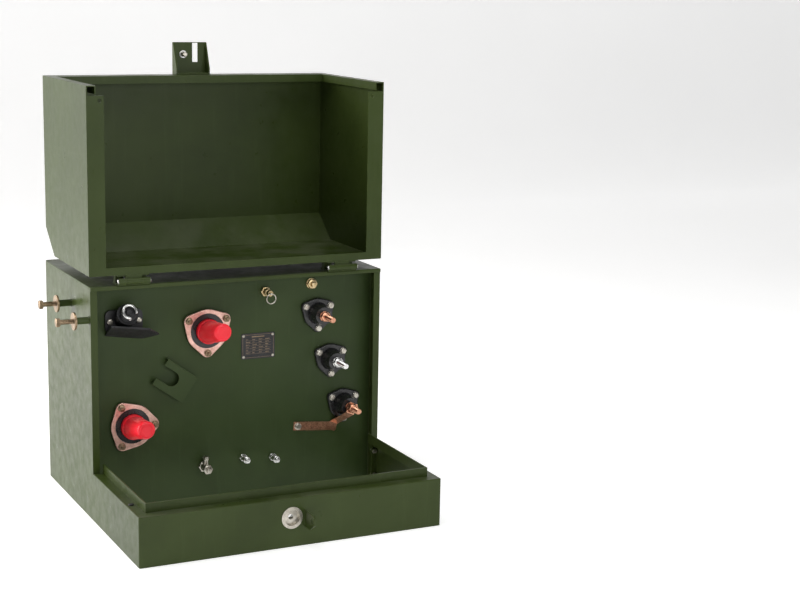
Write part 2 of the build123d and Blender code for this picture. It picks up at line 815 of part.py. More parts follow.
with BuildPart() as lv_clamp_bolts:
    for x, z in lv_places:
        frame = on_wall(x, z)
        with BuildSketch(frame):
            with PolarLocations(lv_bolt_circle, 3, start_angle=lv_turn):
                Circle(lv_bolt_radius)
        extrude(amount=lv_seat + lv_flange_thickness)
        with BuildSketch(frame.offset(lv_seat + lv_flange_thickness)):
            with PolarLocations(lv_bolt_circle, 3, start_angle=lv_turn):
                RegularPolygon(8.5, 6)
        extrude(amount=7)
finish(lv_clamp_bolts.part, "lv_clamp_bolts")

# ---------------------------------------------------------------- bay-o-net fuse, its tray and parts
fuse_tube_outer = 25.0
fuse_tube_inner = 19.0
fuse_tube_out = 46.0
fuse_tube_in = 210.0
fuse_flange_width = 100.0
fuse_flange_height = 58.0
fuse_flange_thickness = 8.0
fuse_screw_spacing = 76.0
fuse_flange_drop = 0.0
fuse_wall = on_wall(*fuse_place)

with BuildPart() as fuse_housing:
    with BuildSketch(fuse_wall):
        RectangleRounded(fuse_flange_width, fuse_flange_height, 14)
    extrude(amount=fuse_flange_thickness)
    with BuildSketch(fuse_axis.offset(-fuse_tube_in)):
        Circle(fuse_tube_outer)
    extrude(amount=fuse_tube_in + fuse_tube_out)
    with BuildSketch(fuse_axis.offset(fuse_tube_out - 12)):
        Circle(fuse_tube_outer + 3)
    extrude(amount=12)
    with BuildSketch(fuse_axis.offset(4 - fuse_tube_in)):
        Circle(fuse_tube_inner)
    extrude(amount=fuse_tube_in + fuse_tube_out, mode=Mode.SUBTRACT)
    with BuildSketch(fuse_wall):
        with GridLocations(fuse_screw_spacing, 0, 2, 1):
            Circle(screw_radius + loose_gap)
    extrude(amount=fuse_flange_thickness, mode=Mode.SUBTRACT)
finish(fuse_housing.part, "fuse_housing")

with BuildPart() as fuse_screws:
    with BuildSketch(fuse_wall):
        with GridLocations(fuse_screw_spacing, 0, 2, 1):
            Circle(screw_radius)
    extrude(amount=fuse_flange_thickness)
    with BuildSketch(fuse_wall.offset(fuse_flange_thickness)):
        with GridLocations(fuse_screw_spacing, 0, 2, 1):
            RegularPolygon(8, 6)
    extrude(amount=6)
finish(fuse_screws.part, "fuse_screws")

handle_radius = 22.0
handle_skirt = 14.0
fuse_link_radius = 12.0
fuse_link_length = 150.0
link_start = -30.0
holder_tip = 190.0
with BuildPart() as fuse_cartridge:
    with BuildSketch(fuse_axis.offset(-holder_tip)):
        Circle(fuse_tube_inner - running_gap)
    extrude(amount=holder_tip + fuse_tube_out - 12)
    with BuildSketch(fuse_axis.offset(-holder_tip)):
        Circle(fuse_link_radius + running_gap)
    extrude(amount=fuse_link_length, mode=Mode.SUBTRACT)
    with BuildSketch(fuse_axis.offset(fuse_tube_out - 24)):
        Circle(handle_radius / 3 + running_gap)
    extrude(amount=12, mode=Mode.SUBTRACT)
finish(fuse_cartridge.part, "fuse_cartridge")

with BuildPart() as fuse_link:
    with BuildSketch(fuse_axis.offset(-holder_tip)):
        Circle(fuse_link_radius)
    extrude(amount=fuse_link_length)
finish(fuse_link.part, "fuse_link")

eye_radius = 17.5
eye_wire = 3.8
eye_centre = fuse_tube_out + handle_skirt + 7
eye_start = -90.0
eye_sweep = -290.0
eye_plane = fuse_axis.offset(eye_centre)
with BuildPart() as fuse_handle:
    with BuildSketch(fuse_axis.offset(fuse_tube_out - 24 + seat_gap)):
        Circle(handle_radius / 3)
    extrude(amount=24)
    with BuildSketch(fuse_axis.offset(fuse_tube_out + seat_gap)):
        Circle(handle_radius)
    extrude(amount=handle_skirt)
    outward = Axis(fuse_axis.origin, fuse_axis.z_dir)
    fillet(fuse_handle.faces().sort_by(outward)[-1].outer_wire().edges(), 3)
    with BuildSketch(fuse_axis.offset(fuse_tube_out + handle_skirt)):
        with Locations((0, -eye_radius)):
            Rectangle(2 * eye_wire, 2 * eye_wire)
    extrude(amount=eye_centre - fuse_tube_out - handle_skirt)
    with BuildLine(eye_plane):
        eye_path = CenterArc((0, 0), eye_radius, eye_start, eye_sweep)
    with BuildSketch(Plane(origin=eye_path @ 0, z_dir=eye_path % 0)):
        Circle(eye_wire)
    sweep(path=eye_path)
finish(fuse_handle.part, "fuse_handle")

tray_drop = 40.0
tray_roll = 8.0
tray_half = 50.0
tray_point = 84.0
tray_out = 50.0
tray_back = 22.0
tray_lip = 5.0
tray_wall = 2.0
tray_up = fuse_axis.y_dir * cos(radians(tray_roll)) + fuse_axis.x_dir * sin(radians(tray_roll))
tray_along = fuse_axis.x_dir * cos(radians(tray_roll)) - fuse_axis.y_dir * sin(radians(tray_roll))
tray_frame = Plane(origin=fuse_axis.origin - fuse_axis.y_dir * tray_drop, x_dir=tray_along, z_dir=tray_up)
tray_points = [
    (-tray_half, tray_back),
    (-tray_half, -tray_out),
    (tray_half, -tray_out),
    (tray_point, -tray_out / 3),
    (tray_half, tray_back),
]
with BuildPart() as drip_tray:
    with BuildSketch(tray_frame):
        with BuildLine():
            Polyline(*tray_points, close=True)
        make_face()
    extrude(amount=tray_lip)
    with BuildSketch(tray_frame.offset(tray_wall)):
        with BuildLine():
            Polyline(*tray_points, close=True)
        make_face()
        offset(amount=-tray_wall, kind=Kind.INTERSECTION)
        with Locations((0, tray_back)):
            Rectangle(4 * tray_half, 4 * tray_wall + 30, mode=Mode.ADD)
    extrude(amount=2 * tray_lip, mode=Mode.SUBTRACT)
    add_block(
        (-half_width, plate_face, fuse_place[1] - 3 * tray_drop),
        (0, plate_face + 2 * tray_back, fuse_place[1]),
        Mode.SUBTRACT,
    )
finish(drip_tray.part, "drip_tray")

# ---------------------------------------------------------------- parking stand
stand_width = 78.0
stand_length = 100.0
stand_height = 20.0
stand_wall = 3.0
stand_slot = 40.0
stand_slot_depth = 58.0
stand_frame = Plane(
    origin=(stand_place[0], plate_face, stand_place[1]),
    x_dir=(cos(radians(stand_turn)), 0, sin(radians(stand_turn))),
    z_dir=(0, -1, 0),
)
with BuildPart() as parking_stand:
    with BuildSketch(stand_frame):
        Rectangle(stand_length, stand_width)
    extrude(amount=stand_height)
    with BuildSketch(stand_frame):
        with Locations((-stand_wall, 0)):
            Rectangle(stand_length + 2 * stand_wall, stand_width - 2 * stand_wall)
    extrude(amount=stand_height - stand_wall, mode=Mode.SUBTRACT)
    with BuildSketch(stand_frame.offset(stand_height - stand_wall)):
        with Locations((stand_length / 2, 0)):
            Rectangle(2 * stand_slot_depth - stand_slot, stand_slot)
        with Locations((stand_length / 2 - stand_slot_depth + stand_slot / 2, 0)):
            Circle(stand_slot / 2)
    extrude(amount=stand_wall, mode=Mode.SUBTRACT)
    fillet(parking_stand.edges().filter_by(Axis.Y).group_by(SortBy.LENGTH)[0], 0.8)
finish(parking_stand.part, "parking_stand")

# ---------------------------------------------------------------- tank ground strap and ground connectors
strap_from = lv_places[-1]
strap_dx = strap_knee[0] - strap_from[0]
strap_dz = strap_knee[1] - strap_from[1]
strap_run = hypot(strap_dx, strap_dz)
strap_along = Vector(strap_dx / strap_run, 0, strap_dz / strap_run)
strap_side = Plane(
    origin=(strap_from[0], plate_face, strap_from[1]),
    x_dir=strap_along,
    z_dir=strap_along.cross(Vector(0, -1, 0)),
)
strap_line = [
    (-14, strap_seat),
    (lv_nut_radius + 2, strap_seat),
    (strap_run - 10, seat_gap),
    (strap_run + strap_width / 2, seat_gap),
]
wall_dx = strap_bolt_place[0] - strap_knee[0]
wall_dz = strap_bolt_place[1] - strap_knee[1]
wall_turn = degrees(atan2(wall_dz, wall_dx))
wall_run = hypot(wall_dx, wall_dz)
with BuildPart() as ground_strap:
    with BuildSketch(strap_side):
        with BuildLine():
            Polyline(*strap_line, *[(s, h + strap_thickness) for s, h in reversed(strap_line)], close=True)
        make_face()
    extrude(amount=strap_width / 2, both=True)
    with BuildSketch(front_wall.offset(seat_gap)):
        with Locations(((strap_knee[0] + strap_bolt_place[0]) / 2, (strap_knee[1] + strap_bolt_place[1]) / 2)):
            Rectangle(wall_run + strap_width, strap_width, rotation=wall_turn)
    extrude(amount=strap_thickness)
    with BuildSketch(front_wall):
        with Locations(strap_from):
            Circle(lv_stud_radius + loose_gap)
        with Locations(strap_bolt_place):
            Circle(stud_radius + loose_gap)
    extrude(amount=strap_seat + 4 * strap_thickness, mode=Mode.SUBTRACT)
finish(ground_strap.part, "ground_strap")

with BuildPart() as strap_bolt:
    with BuildSketch(front_wall.offset(seat_gap + strap_thickness)):
        with Locations(strap_bolt_place):
            RegularPolygon(10, 6)
    extrude(amount=7)
    with BuildSketch(front_wall.offset(seat_gap + strap_thickness)):
        with Locations(strap_bolt_place):
            Circle(stud_radius)
    extrude(amount=-(seat_gap + strap_thickness + plate_thickness + 10))
finish(strap_bolt.part, "strap_bolt")

connector_radius = 9.5
connector_length = 34.0
wire_hole = 4.5
with BuildPart() as ground_connectors:
    for x, z in ground_places:
        frame = on_wall(x, z)
        with BuildSketch(frame.offset(-plate_thickness - 8)):
            Circle(stud_radius)
        extrude(amount=plate_thickness + 8)
        with BuildSketch(frame):
            RegularPolygon(connector_radius + 1, 6)
        extrude(amount=8)
        with BuildSketch(frame.offset(8)):
            Circle(connector_radius)
        extrude(amount=connector_length - 8)
        with BuildSketch(Plane.XY.offset(z - 2 * connector_radius)):
            with Locations((x, plate_face - connector_length + 13)):
                Circle(wire_hole)
        extrude(amount=4 * connector_radius, mode=Mode.SUBTRACT)
        with BuildSketch(frame.offset(connector_length)):
            RegularPolygon(connector_radius - 2, 6)
        extrude(amount=8)
finish(ground_connectors.part, "ground_connectors")

# ---------------------------------------------------------------- drain valve, fill plug and relief valve
drain_frame = on_wall(*drain_place)
with BuildPart() as drain_valve:
    with BuildSketch(drain_frame.offset(-plate_thickness - 8)):
        Circle(fitting_radius)
    extrude(amount=plate_thickness + 8)
    with BuildSketch(drain_frame):
        RegularPolygon(15, 6)
    extrude(amount=10)
    with BuildSketch(drain_frame.offset(10)):
        Circle(11)
    extrude(amount=22)
    with BuildSketch(drain_frame.offset(32)):
        RegularPolygon(13.5, 6)
    extrude(amount=9)
    with BuildSketch(drain_frame.offset(41)):
        Rectangle(11, 11)
    extrude(amount=9)
    with BuildSketch(Plane(origin=(drain_place[0], plate_face - 21, drain_place[1]), z_dir=(0, 0, 1))):
        Circle(6)
    extrude(amount=24)
    with BuildSketch(Plane(origin=(drain_place[0], plate_face - 21, drain_place[1] + 24), z_dir=(0, 0, 1))):
        RegularPolygon(8.5, 6)
    extrude(amount=8)
finish(drain_valve.part, "drain_valve")

fill_frame = on_wall(*fill_place)
with BuildPart() as fill_plug:
    with BuildSketch(fill_frame.offset(-plate_thickness - 8)):
        Circle(fitting_radius)
    extrude(amount=plate_thickness + 8)
    with BuildSketch(fill_frame):
        Circle(15)
    extrude(amount=4)
    with BuildSketch(fill_frame.offset(4)):
        RegularPolygon(14, 6)
    extrude(amount=10)
    with BuildSketch(fill_frame.offset(14)):
        Rectangle(12, 12)
    extrude(amount=10)
finish(fill_plug.part, "fill_plug")

relief_frame = on_wall(*relief_place)
relief_stem = 2.4
relief_reach = 40.0
relief_bore_depth = 26.0
ring_radius = 13.0
ring_wire = 1.6
with BuildPart() as relief_valve:
    with BuildSketch(relief_frame.offset(-plate_thickness - 8)):
        Circle(fitting_radius)
    extrude(amount=plate_thickness + 8)
    with BuildSketch(relief_frame):
        RegularPolygon(14, 6)
    extrude(amount=9)
    with BuildSketch(relief_frame.offset(9)):
        Circle(10)
    extrude(amount=17)
    with BuildSketch(relief_frame.offset(26)):
        Circle(8)
    extrude(amount=relief_reach - 26)
    with BuildSketch(relief_frame.offset(relief_reach)):
        Circle(relief_stem + running_gap)
    extrude(amount=-relief_bore_depth, mode=Mode.SUBTRACT)
finish(relief_valve.part, "relief_valve")

ring_out = relief_reach + 5
with BuildPart() as relief_ring:
    with BuildSketch(relief_frame.offset(relief_reach - relief_bore_depth + 2)):
        Circle(relief_stem)
    extrude(amount=relief_bore_depth + 5)
    ring_centre = (relief_place[0], plate_face - ring_out, relief_place[1] - ring_radius)
    with Locations(Location(ring_centre, (90, 0, 0))):
        Torus(ring_radius, ring_wire)
finish(relief_ring.part, "relief_ring")

# ---------------------------------------------------------------- nameplate
name_width = 96.0
name_height = 70.0
name_thickness = 1.6
rivet_inset = 6.0
rivet_radius = 2.0
with BuildPart() as nameplate:
    with BuildSketch(on_wall(*nameplate_place)):
        RectangleRounded(name_width, name_height, 4)
        with GridLocations(name_width - 2 * rivet_inset, name_height - 2 * rivet_inset, 2, 2):
            Circle(rivet_radius + loose_gap, mode=Mode.SUBTRACT)
    extrude(amount=name_thickness)
finish(nameplate.part, "nameplate")

with BuildPart() as nameplate_rivets:
    with BuildSketch(on_wall(*nameplate_place)):
        with GridLocations(name_width - 2 * rivet_inset, name_height - 2 * rivet_inset, 2, 2):
            Circle(rivet_radius)
    extrude(amount=name_thickness)
    with BuildSketch(on_wall(*nameplate_place).offset(name_thickness)):
        with GridLocations(name_width - 2 * rivet_inset, name_height - 2 * rivet_inset, 2, 2):
            Circle(2 * rivet_radius)
    extrude(amount=1.6)
finish(nameplate_rivets.part, "nameplate_rivets")

# ---------------------------------------------------------------- core and coils inside the tank
core_low = 60.0
core_height = 300.0
core_leg = 45.0
core_loop = 195.0
coil_inner_wall = 22.0
coil_outer_wall = 22.0
coil_gap = 2.0
coil_step = 1.0
coil_end_gap = 5.0
oil_gap_front = 93.0
oil_gap_back = 44.0
coil_front = plate_face + oil_gap_front
coil_back = tank_depth - tank_wall - oil_gap_back
coil_build = coil_gap + coil_inner_wall + coil_step + coil_outer_wall
core_y = (coil_front + coil_back) / 2
core_depth = coil_back - coil_front - 2 * coil_build
core_middle = core_low + core_height / 2
coil_height = core_height - 2 * core_leg - 2 * coil_end_gap
core_face = Plane.XZ.offset(-(core_y - core_depth / 2))

with BuildPart() as core_loops:
    with BuildSketch(core_face):
        with GridLocations(core_loop + 2 * seat_gap, 0, 2, 1):
            with Locations((0, core_middle)):
                RectangleRounded(core_loop, core_height, 12)
                RectangleRounded(core_loop - 2 * core_leg, core_height - 2 * core_leg, 4, mode=Mode.SUBTRACT)
    extrude(amount=-core_depth)
finish(core_loops.part, "core_loops")

coil_x = 2 * core_leg + 2 * coil_gap + 2 * seat_gap
coil_y = core_depth + 2 * coil_gap
for name, wall, grow in (
    ("inner", coil_inner_wall, 0),
    ("outer", coil_outer_wall, 2 * (coil_inner_wall + coil_step)),
):
    with BuildPart() as coil:
        with BuildSketch(Plane.XY.offset(core_middle - coil_height / 2)):
            with Locations((0, core_y)):
                RectangleRounded(
                    coil_x + grow + 2 * wall,
                    coil_y + grow + 2 * wall,
                    wall + 4 + grow / 2,
                )
                RectangleRounded(coil_x + grow, coil_y + grow, 4 + grow / 2, mode=Mode.SUBTRACT)
        extrude(amount=coil_height)
    finish(coil.part, f"coil_{name}")

rail_width = 30.0
with BuildPart() as core_clamp:
    for y in (core_y - core_depth / 2 + 10, core_y + core_depth / 2 - 10 - rail_width):
        add_block((-core_loop, y, floor_thickness), (core_loop, y + rail_width, core_low - seat_gap))
    for side in (-1, 1):
        strap = sorted((side * (core_loop + 1), side * (core_loop + 6)))
        add_block(
            (strap[0], core_y - core_depth / 2 + 10, floor_thickness),
            (strap[1], core_y + core_depth / 2 - 10, core_low + core_height + 7),
        )
    add_block(
        (-core_loop - 6, core_y - core_depth / 2 + 10, core_low + core_height + 1),
        (core_loop + 6, core_y + core_depth / 2 - 10, core_low + core_height + 7),
    )
    for y in (core_y - core_depth / 2 + 10, core_y + core_depth / 2 - 10 - rail_width):
        add_block(
            (-core_loop - 6, y, floor_thickness),
            (core_loop + 6, y + rail_width, floor_thickness + 6),
        )
finish(core_clamp.part, "core_clamp")

lead_width = 20.0
lead_thickness = 4.0
lead_plane = plate_face + lv_stud_inner + seat_gap
lead_drop = 290.0
lead_first = 10.0
lead_pitch = 35.0
with BuildPart() as lv_leads:
    for number, (x, z) in enumerate(lv_places):
        down_x = lead_first + number * lead_pitch
        end_z = min(z, lead_drop)
        half_lead = lead_width / 2
        add_block(
            (down_x - half_lead, lead_plane, z - half_lead),
            (x + half_lead, lead_plane + lead_thickness, z + half_lead),
        )
        add_block(
            (down_x - half_lead, lead_plane, end_z - half_lead),
            (down_x + half_lead, lead_plane + lead_thickness, z + half_lead),
        )
        add_block(
            (down_x - half_lead, lead_plane, end_z - half_lead),
            (down_x + half_lead, coil_front - seat_gap, end_z + half_lead),
        )
finish(lv_leads.part, "lv_leads")

hv_lead_plane = plate_face + well_stud_reach + seat_gap
hv_lead_half = 4.0
coil_left = -coil_x / 2 - coil_inner_wall - coil_step - coil_outer_wall
upper_x, upper_z, upper_turn = well_places["upper"]
lower_x, lower_z, lower_turn = well_places["lower"]
with BuildPart() as hv_leads:
    add_block(
        (upper_x - hv_lead_half, hv_lead_plane, core_middle + coil_height / 2 + seat_gap),
        (upper_x + hv_lead_half, hv_lead_plane + lead_thickness, upper_z + hv_lead_half),
    )
    add_block(
        (lower_x - hv_lead_half, hv_lead_plane, lower_z - hv_lead_half),
        (coil_left - seat_gap, hv_lead_plane + lead_thickness, lower_z + hv_lead_half),
    )
finish(hv_leads.part, "hv_leads")
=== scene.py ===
import json
import math

import bpy
from mathutils import Matrix, Vector


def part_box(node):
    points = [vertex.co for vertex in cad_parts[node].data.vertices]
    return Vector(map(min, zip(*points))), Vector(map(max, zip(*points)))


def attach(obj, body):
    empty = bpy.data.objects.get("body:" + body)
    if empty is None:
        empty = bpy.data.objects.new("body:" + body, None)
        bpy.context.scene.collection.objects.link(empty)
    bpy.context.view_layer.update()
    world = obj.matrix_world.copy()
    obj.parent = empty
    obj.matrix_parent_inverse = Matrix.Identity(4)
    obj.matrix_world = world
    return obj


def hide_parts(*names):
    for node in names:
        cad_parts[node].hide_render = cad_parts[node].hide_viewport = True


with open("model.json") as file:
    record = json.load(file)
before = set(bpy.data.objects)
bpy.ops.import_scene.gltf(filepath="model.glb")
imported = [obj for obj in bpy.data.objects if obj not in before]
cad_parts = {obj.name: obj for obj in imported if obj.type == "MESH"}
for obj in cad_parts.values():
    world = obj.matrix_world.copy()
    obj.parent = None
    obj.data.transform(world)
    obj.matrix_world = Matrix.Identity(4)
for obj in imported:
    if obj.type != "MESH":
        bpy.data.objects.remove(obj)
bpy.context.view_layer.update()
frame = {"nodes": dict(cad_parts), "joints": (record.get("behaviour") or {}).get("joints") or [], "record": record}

nodes = frame["nodes"]
scene = bpy.context.scene


# ------------------------------------------------------------------ reading the frame
def islands(node, cell=1e-5):
    """Boxes of a CAD node's separate solids, sorted from left to right."""
    mesh = nodes[node].data
    parent = {}

    def find(k):
        while parent[k] != k:
            parent[k] = parent[parent[k]]
            k = parent[k]
        return k

    keys = [tuple(round(c / cell) for c in v.co) for v in mesh.vertices]
    for k in keys:
        parent.setdefault(k, k)
    for poly in mesh.polygons:
        first = find(keys[poly.vertices[0]])
        for i in poly.vertices[1:]:
            parent[find(keys[i])] = first
    groups = {}
    for k, v in zip(keys, mesh.vertices):
        groups.setdefault(find(k), []).append(v.co)
    boxes = []
    for cos in groups.values():
        lo = Vector([min(c[i] for c in cos) for i in range(3)])
        hi = Vector([max(c[i] for c in cos) for i in range(3)])
        boxes.append((lo, hi))
    return sorted(boxes, key=lambda b: (round(b[0].x, 4), b[0].z, b[0].y))


def middle(node):
    lo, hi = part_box(node)
    return (lo + hi) / 2


def facing(origin, out, up=Vector((0, 0, 1))):
    """A matrix whose Z points along out, and whose Y is near up."""
    z = Vector(out).normalized()
    x = Vector(up).cross(z).normalized()
    y = z.cross(x)
    m = Matrix((x, y, z)).transposed().to_4x4()
    m.translation = origin
    return m


# ------------------------------------------------------------------ mesh building
class Shape:
    """Collects turned, prismatic and swept bodies, then becomes one mesh object."""

    def __init__(self):
        self.verts = []
        self.faces = []

    def grid(self, matrix, rings, close_u=True, cap=True, close_v=False):
        base = len(self.verts)
        n = len(rings[0])
        for ring in rings:
            self.verts += [matrix @ Vector(p) for p in ring]
        rows = len(rings)
        for j in range(rows if close_v else rows - 1):
            for i in range(n if close_u else n - 1):
                a, b = base + j * n + i, base + j * n + (i + 1) % n
                c = base + ((j + 1) % rows) * n + (i + 1) % n
                d = base + ((j + 1) % rows) * n + i
                self.faces.append((a, b, c, d))
        if cap and not close_v:
            self.faces.append(tuple(base + i for i in reversed(range(n))))
            self.faces.append(tuple(base + (rows - 1) * n + i for i in range(n)))

    def lathe(self, matrix, profile, seg=48, closed=False):
        """A turned body; profile is (radius, height) from the bottom up."""
        rings = []
        for r, h in profile:
            ring = []
            for i in range(seg):
                a = 2 * math.pi * i / seg
                ring.append((r * math.cos(a), r * math.sin(a), h))
            rings.append(ring)
        self.grid(matrix, rings, cap=not closed, close_v=closed)

    def nut(self, matrix, radius, low, high, sides=6, both=False):
        """A nut or bolt head with the round chamfer that turning leaves on its corners."""
        seg = sides * 8
        flat = radius * math.cos(math.pi / sides)
        bevel = math.tan(math.radians(28))
        inner = flat * 0.94

        def edge(i):
            a = 2 * math.pi * i / seg
            off = (a % (2 * math.pi / sides)) - math.pi / sides
            return a, flat / math.cos(off)

        def ring(height, limit=None, sign=1):
            out = []
            for i in range(seg):
                a, r = edge(i)
                h = height
                if limit is None:
                    h = height - sign * (r - inner) * bevel
                else:
                    r = min(r, limit)
                out.append((r * math.cos(a), r * math.sin(a), h))
            return out

        if both:
            rings = [ring(low, inner), ring(low, sign=-1)]
        else:
            rings = [[(p[0], p[1], low) for p in ring(low)]]
        rings += [ring(high), ring(high, inner), ring(high - 0.0002, inner * 0.35)]
        self.grid(matrix, rings)

    def thread(self, matrix, radius, low, high, pitch=0.0018, depth=0.00055, seg=32, tip=0.001):
        """A threaded rod with a true helix and a chamfered tip."""
        steps = max(8, int((high - low) / pitch * 6))
        rings = []
        for j in range(steps + 1):
            h = low + (high - low) * j / steps
            ring = []
            for i in range(seg):
                a = 2 * math.pi * i / seg
                phase = (h / pitch - i / seg) % 1.0
                r = radius - depth * abs(2 * phase - 1)
                r = min(r, radius - depth - tip + (high - h))
                ring.append((r * math.cos(a), r * math.sin(a), h))
            rings.append(ring)
        self.grid(matrix, rings)

    def sweep(self, points, radius, seg=12, closed=False, up=None):
        """A round bar along points; radius may be a function of the distance index."""
        pts = [Vector(p) for p in points]
        n = len(pts)
        rings = []
        side = None
        for k, p in enumerate(pts):
            ahead = pts[(k + 1) % n] if closed or k < n - 1 else p
            behind = pts[(k - 1) % n] if closed or k > 0 else p
            t = (ahead - behind).normalized()
            if side is None:
                spare = Vector((0, 0, 1)) if abs(t.z) < 0.9 else Vector((1, 0, 0))
                side = t.cross(Vector(up) if up else spare).normalized()
            side = (side - t * side.dot(t)).normalized()
            other = t.cross(side)
            r = radius(k) if callable(radius) else radius
            turns = [2 * math.pi * i / seg for i in range(seg)]
            rings.append([p + (side * math.cos(a) + other * math.sin(a)) * r for a in turns])
        self.grid(Matrix.Identity(4), rings, cap=not closed, close_v=closed)

    def prism(self, matrix, outline, low, high, round_=0.0006, steps=3):
        """A plate with a convex outline and rounded edges all round its far face."""

        def inset(d):
            ring = []
            n = len(outline)
            for i in range(n):
                p0, p1, p2 = (Vector(outline[(i + k) % n]) for k in (-1, 0, 1))
                e1, e2 = (p1 - p0).normalized(), (p2 - p1).normalized()
                n1, n2 = Vector((-e1.y, e1.x)), Vector((-e2.y, e2.x))
                m = n1 + n2
                m = m / max(0.3, m.length_squared / 2)
                ring.append(p1 + m * d)
            return ring

        rings = [[(p[0], p[1], low) for p in outline]]
        for k in range(steps + 1):
            a = math.pi / 2 * k / steps
            ring = inset(round_ * (1 - math.cos(a)))
            rings.append([(p[0], p[1], high - round_ * (1 - math.sin(a))) for p in ring])
        self.grid(matrix, rings)

    def make(self, name, material, body, *stands_for, slot=None, sharp=40):
        mesh = bpy.data.meshes.new(name)
        mesh.from_pydata([tuple(v) for v in self.verts], [], self.faces)
        mesh.validate()
        obj = bpy.data.objects.new(name, mesh)
        scene.collection.objects.link(obj)
        mesh.materials.append(material)
        for poly in mesh.polygons:
            poly.use_smooth = True
        mesh.set_sharp_from_angle(angle=math.radians(sharp))
        if body:
            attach(obj, body)
        if stands_for:
            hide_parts(*stands_for)
        return obj


# ------------------------------------------------------------------ materials
class Surface:
    """A Principled material with noise-driven colour, roughness and bump in object space."""

    def __init__(self, name, metallic=0.0, **sockets):
        self.mat = bpy.data.materials.new(name)
        self.mat.use_nodes = True
        self.tree = self.mat.node_tree
        self.bsdf = self.tree.nodes["Principled BSDF"]
        self.bsdf.inputs["Metallic"].default_value = metallic
        for key, value in sockets.items():
            self.bsdf.inputs[key.replace("_", " ").title().replace("Ior", "IOR")].default_value = value
        self.coords = self.node("ShaderNodeTexCoord").outputs["Object"]
        self.height = None

    def node(self, kind, **values):
        n = self.tree.nodes.new(kind)
        for key, value in values.items():
            setattr(n, key, value)
        return n

    def link(self, a, b):
        self.tree.links.new(a, b)

    def mapped(self, scale):
        m = self.node("ShaderNodeMapping")
        m.inputs["Scale"].default_value = scale
        self.link(self.coords, m.inputs["Vector"])
        return m.outputs["Vector"]

    def noise(self, scale, detail=4.0, rough=0.55, stretch=None, distortion=0.0):
        n = self.node("ShaderNodeTexNoise")
        n.inputs["Scale"].default_value = scale
        n.inputs["Detail"].default_value = detail
        n.inputs["Roughness"].default_value = rough
        n.inputs["Distortion"].default_value = distortion
        self.link(self.mapped(stretch) if stretch else self.coords, n.inputs["Vector"])
        return n.outputs["Fac"]

    def cells(self, scale):
        n = self.node("ShaderNodeTexVoronoi")
        n.inputs["Scale"].default_value = scale
        self.link(self.coords, n.inputs["Vector"])
        return n.outputs["Distance"]

    def ramp(self, factor, stops):
        r = self.node("ShaderNodeValToRGB")
        while len(r.color_ramp.elements) < len(stops):
            r.color_ramp.elements.new(0.5)
        for element, (place, colour) in zip(r.color_ramp.elements, stops):
            element.position = place
            element.color = (*colour, 1.0) if len(colour) == 3 else colour
        self.link(factor, r.inputs["Fac"])
        return r.outputs["Color"]

    def grey(self, factor, stops):
        return self.ramp(factor, [(p, (v, v, v)) for p, v in stops])

    def mix(self, factor, a, b):
        m = self.node("ShaderNodeMix", data_type="RGBA")
        for socket, value in (("Factor", factor), ("A", a), ("B", b)):
            kind = "VALUE" if socket == "Factor" else "RGBA"
            target = [s for s in m.inputs if s.name == socket and s.type == kind][0]
            if isinstance(value, (int, float)):
                target.default_value = value
            elif isinstance(value, tuple):
                target.default_value = (*value, 1.0)
            else:
                self.link(value, target)
        return [s for s in m.outputs if s.type == "RGBA"][0]

    def math(self, kind, a, b=0.0):
        m = self.node("ShaderNodeMath", operation=kind)
        for i, value in enumerate((a, b)):
            if isinstance(value, (int, float)):
                m.inputs[i].default_value = value
            else:
                self.link(value, m.inputs[i])
        return m.outputs[0]

    def edges(self, radius=0.0012, low=0.002, high=0.06):
        """Bright on sharp edges, from how far a rounded normal leans away from the true one."""
        bevel = self.node("ShaderNodeBevel", samples=4)
        bevel.inputs["Radius"].default_value = radius
        geometry = self.node("ShaderNodeNewGeometry")
        dot = self.node("ShaderNodeVectorMath", operation="DOT_PRODUCT")
        self.link(bevel.outputs[0], dot.inputs[0])
        self.link(geometry.outputs["Normal"], dot.inputs[1])
        lean = self.math("SUBTRACT", 1.0, dot.outputs["Value"])
        return self.grey(lean, [(low, 0.0), (high, 1.0)])

    def settle(self):
        """Dust that gathers on faces that look up."""
        geometry = self.node("ShaderNodeNewGeometry")
        split = self.node("ShaderNodeSeparateXYZ")
        self.link(geometry.outputs["Normal"], split.inputs[0])
        up = self.grey(split.outputs["Z"], [(0.55, 0.0), (1.0, 1.0)])
        return self.math("MULTIPLY", up, self.grey(self.noise(9.0, 6.0), [(0.42, 0.0), (0.72, 1.0)]))

    def bump(self, height, strength, distance=0.001):
        b = self.node("ShaderNodeBump")
        b.inputs["Strength"].default_value = strength
        b.inputs["Distance"].default_value = distance
        self.link(height, b.inputs["Height"])
        if self.height:
            self.link(self.height, b.inputs["Normal"])
        self.height = b.outputs["Normal"]
        self.link(self.height, self.bsdf.inputs["Normal"])

    def colour(self, value):
        self.link(value, self.bsdf.inputs["Base Color"])

    def roughness(self, value):
        self.link(value, self.bsdf.inputs["Roughness"])


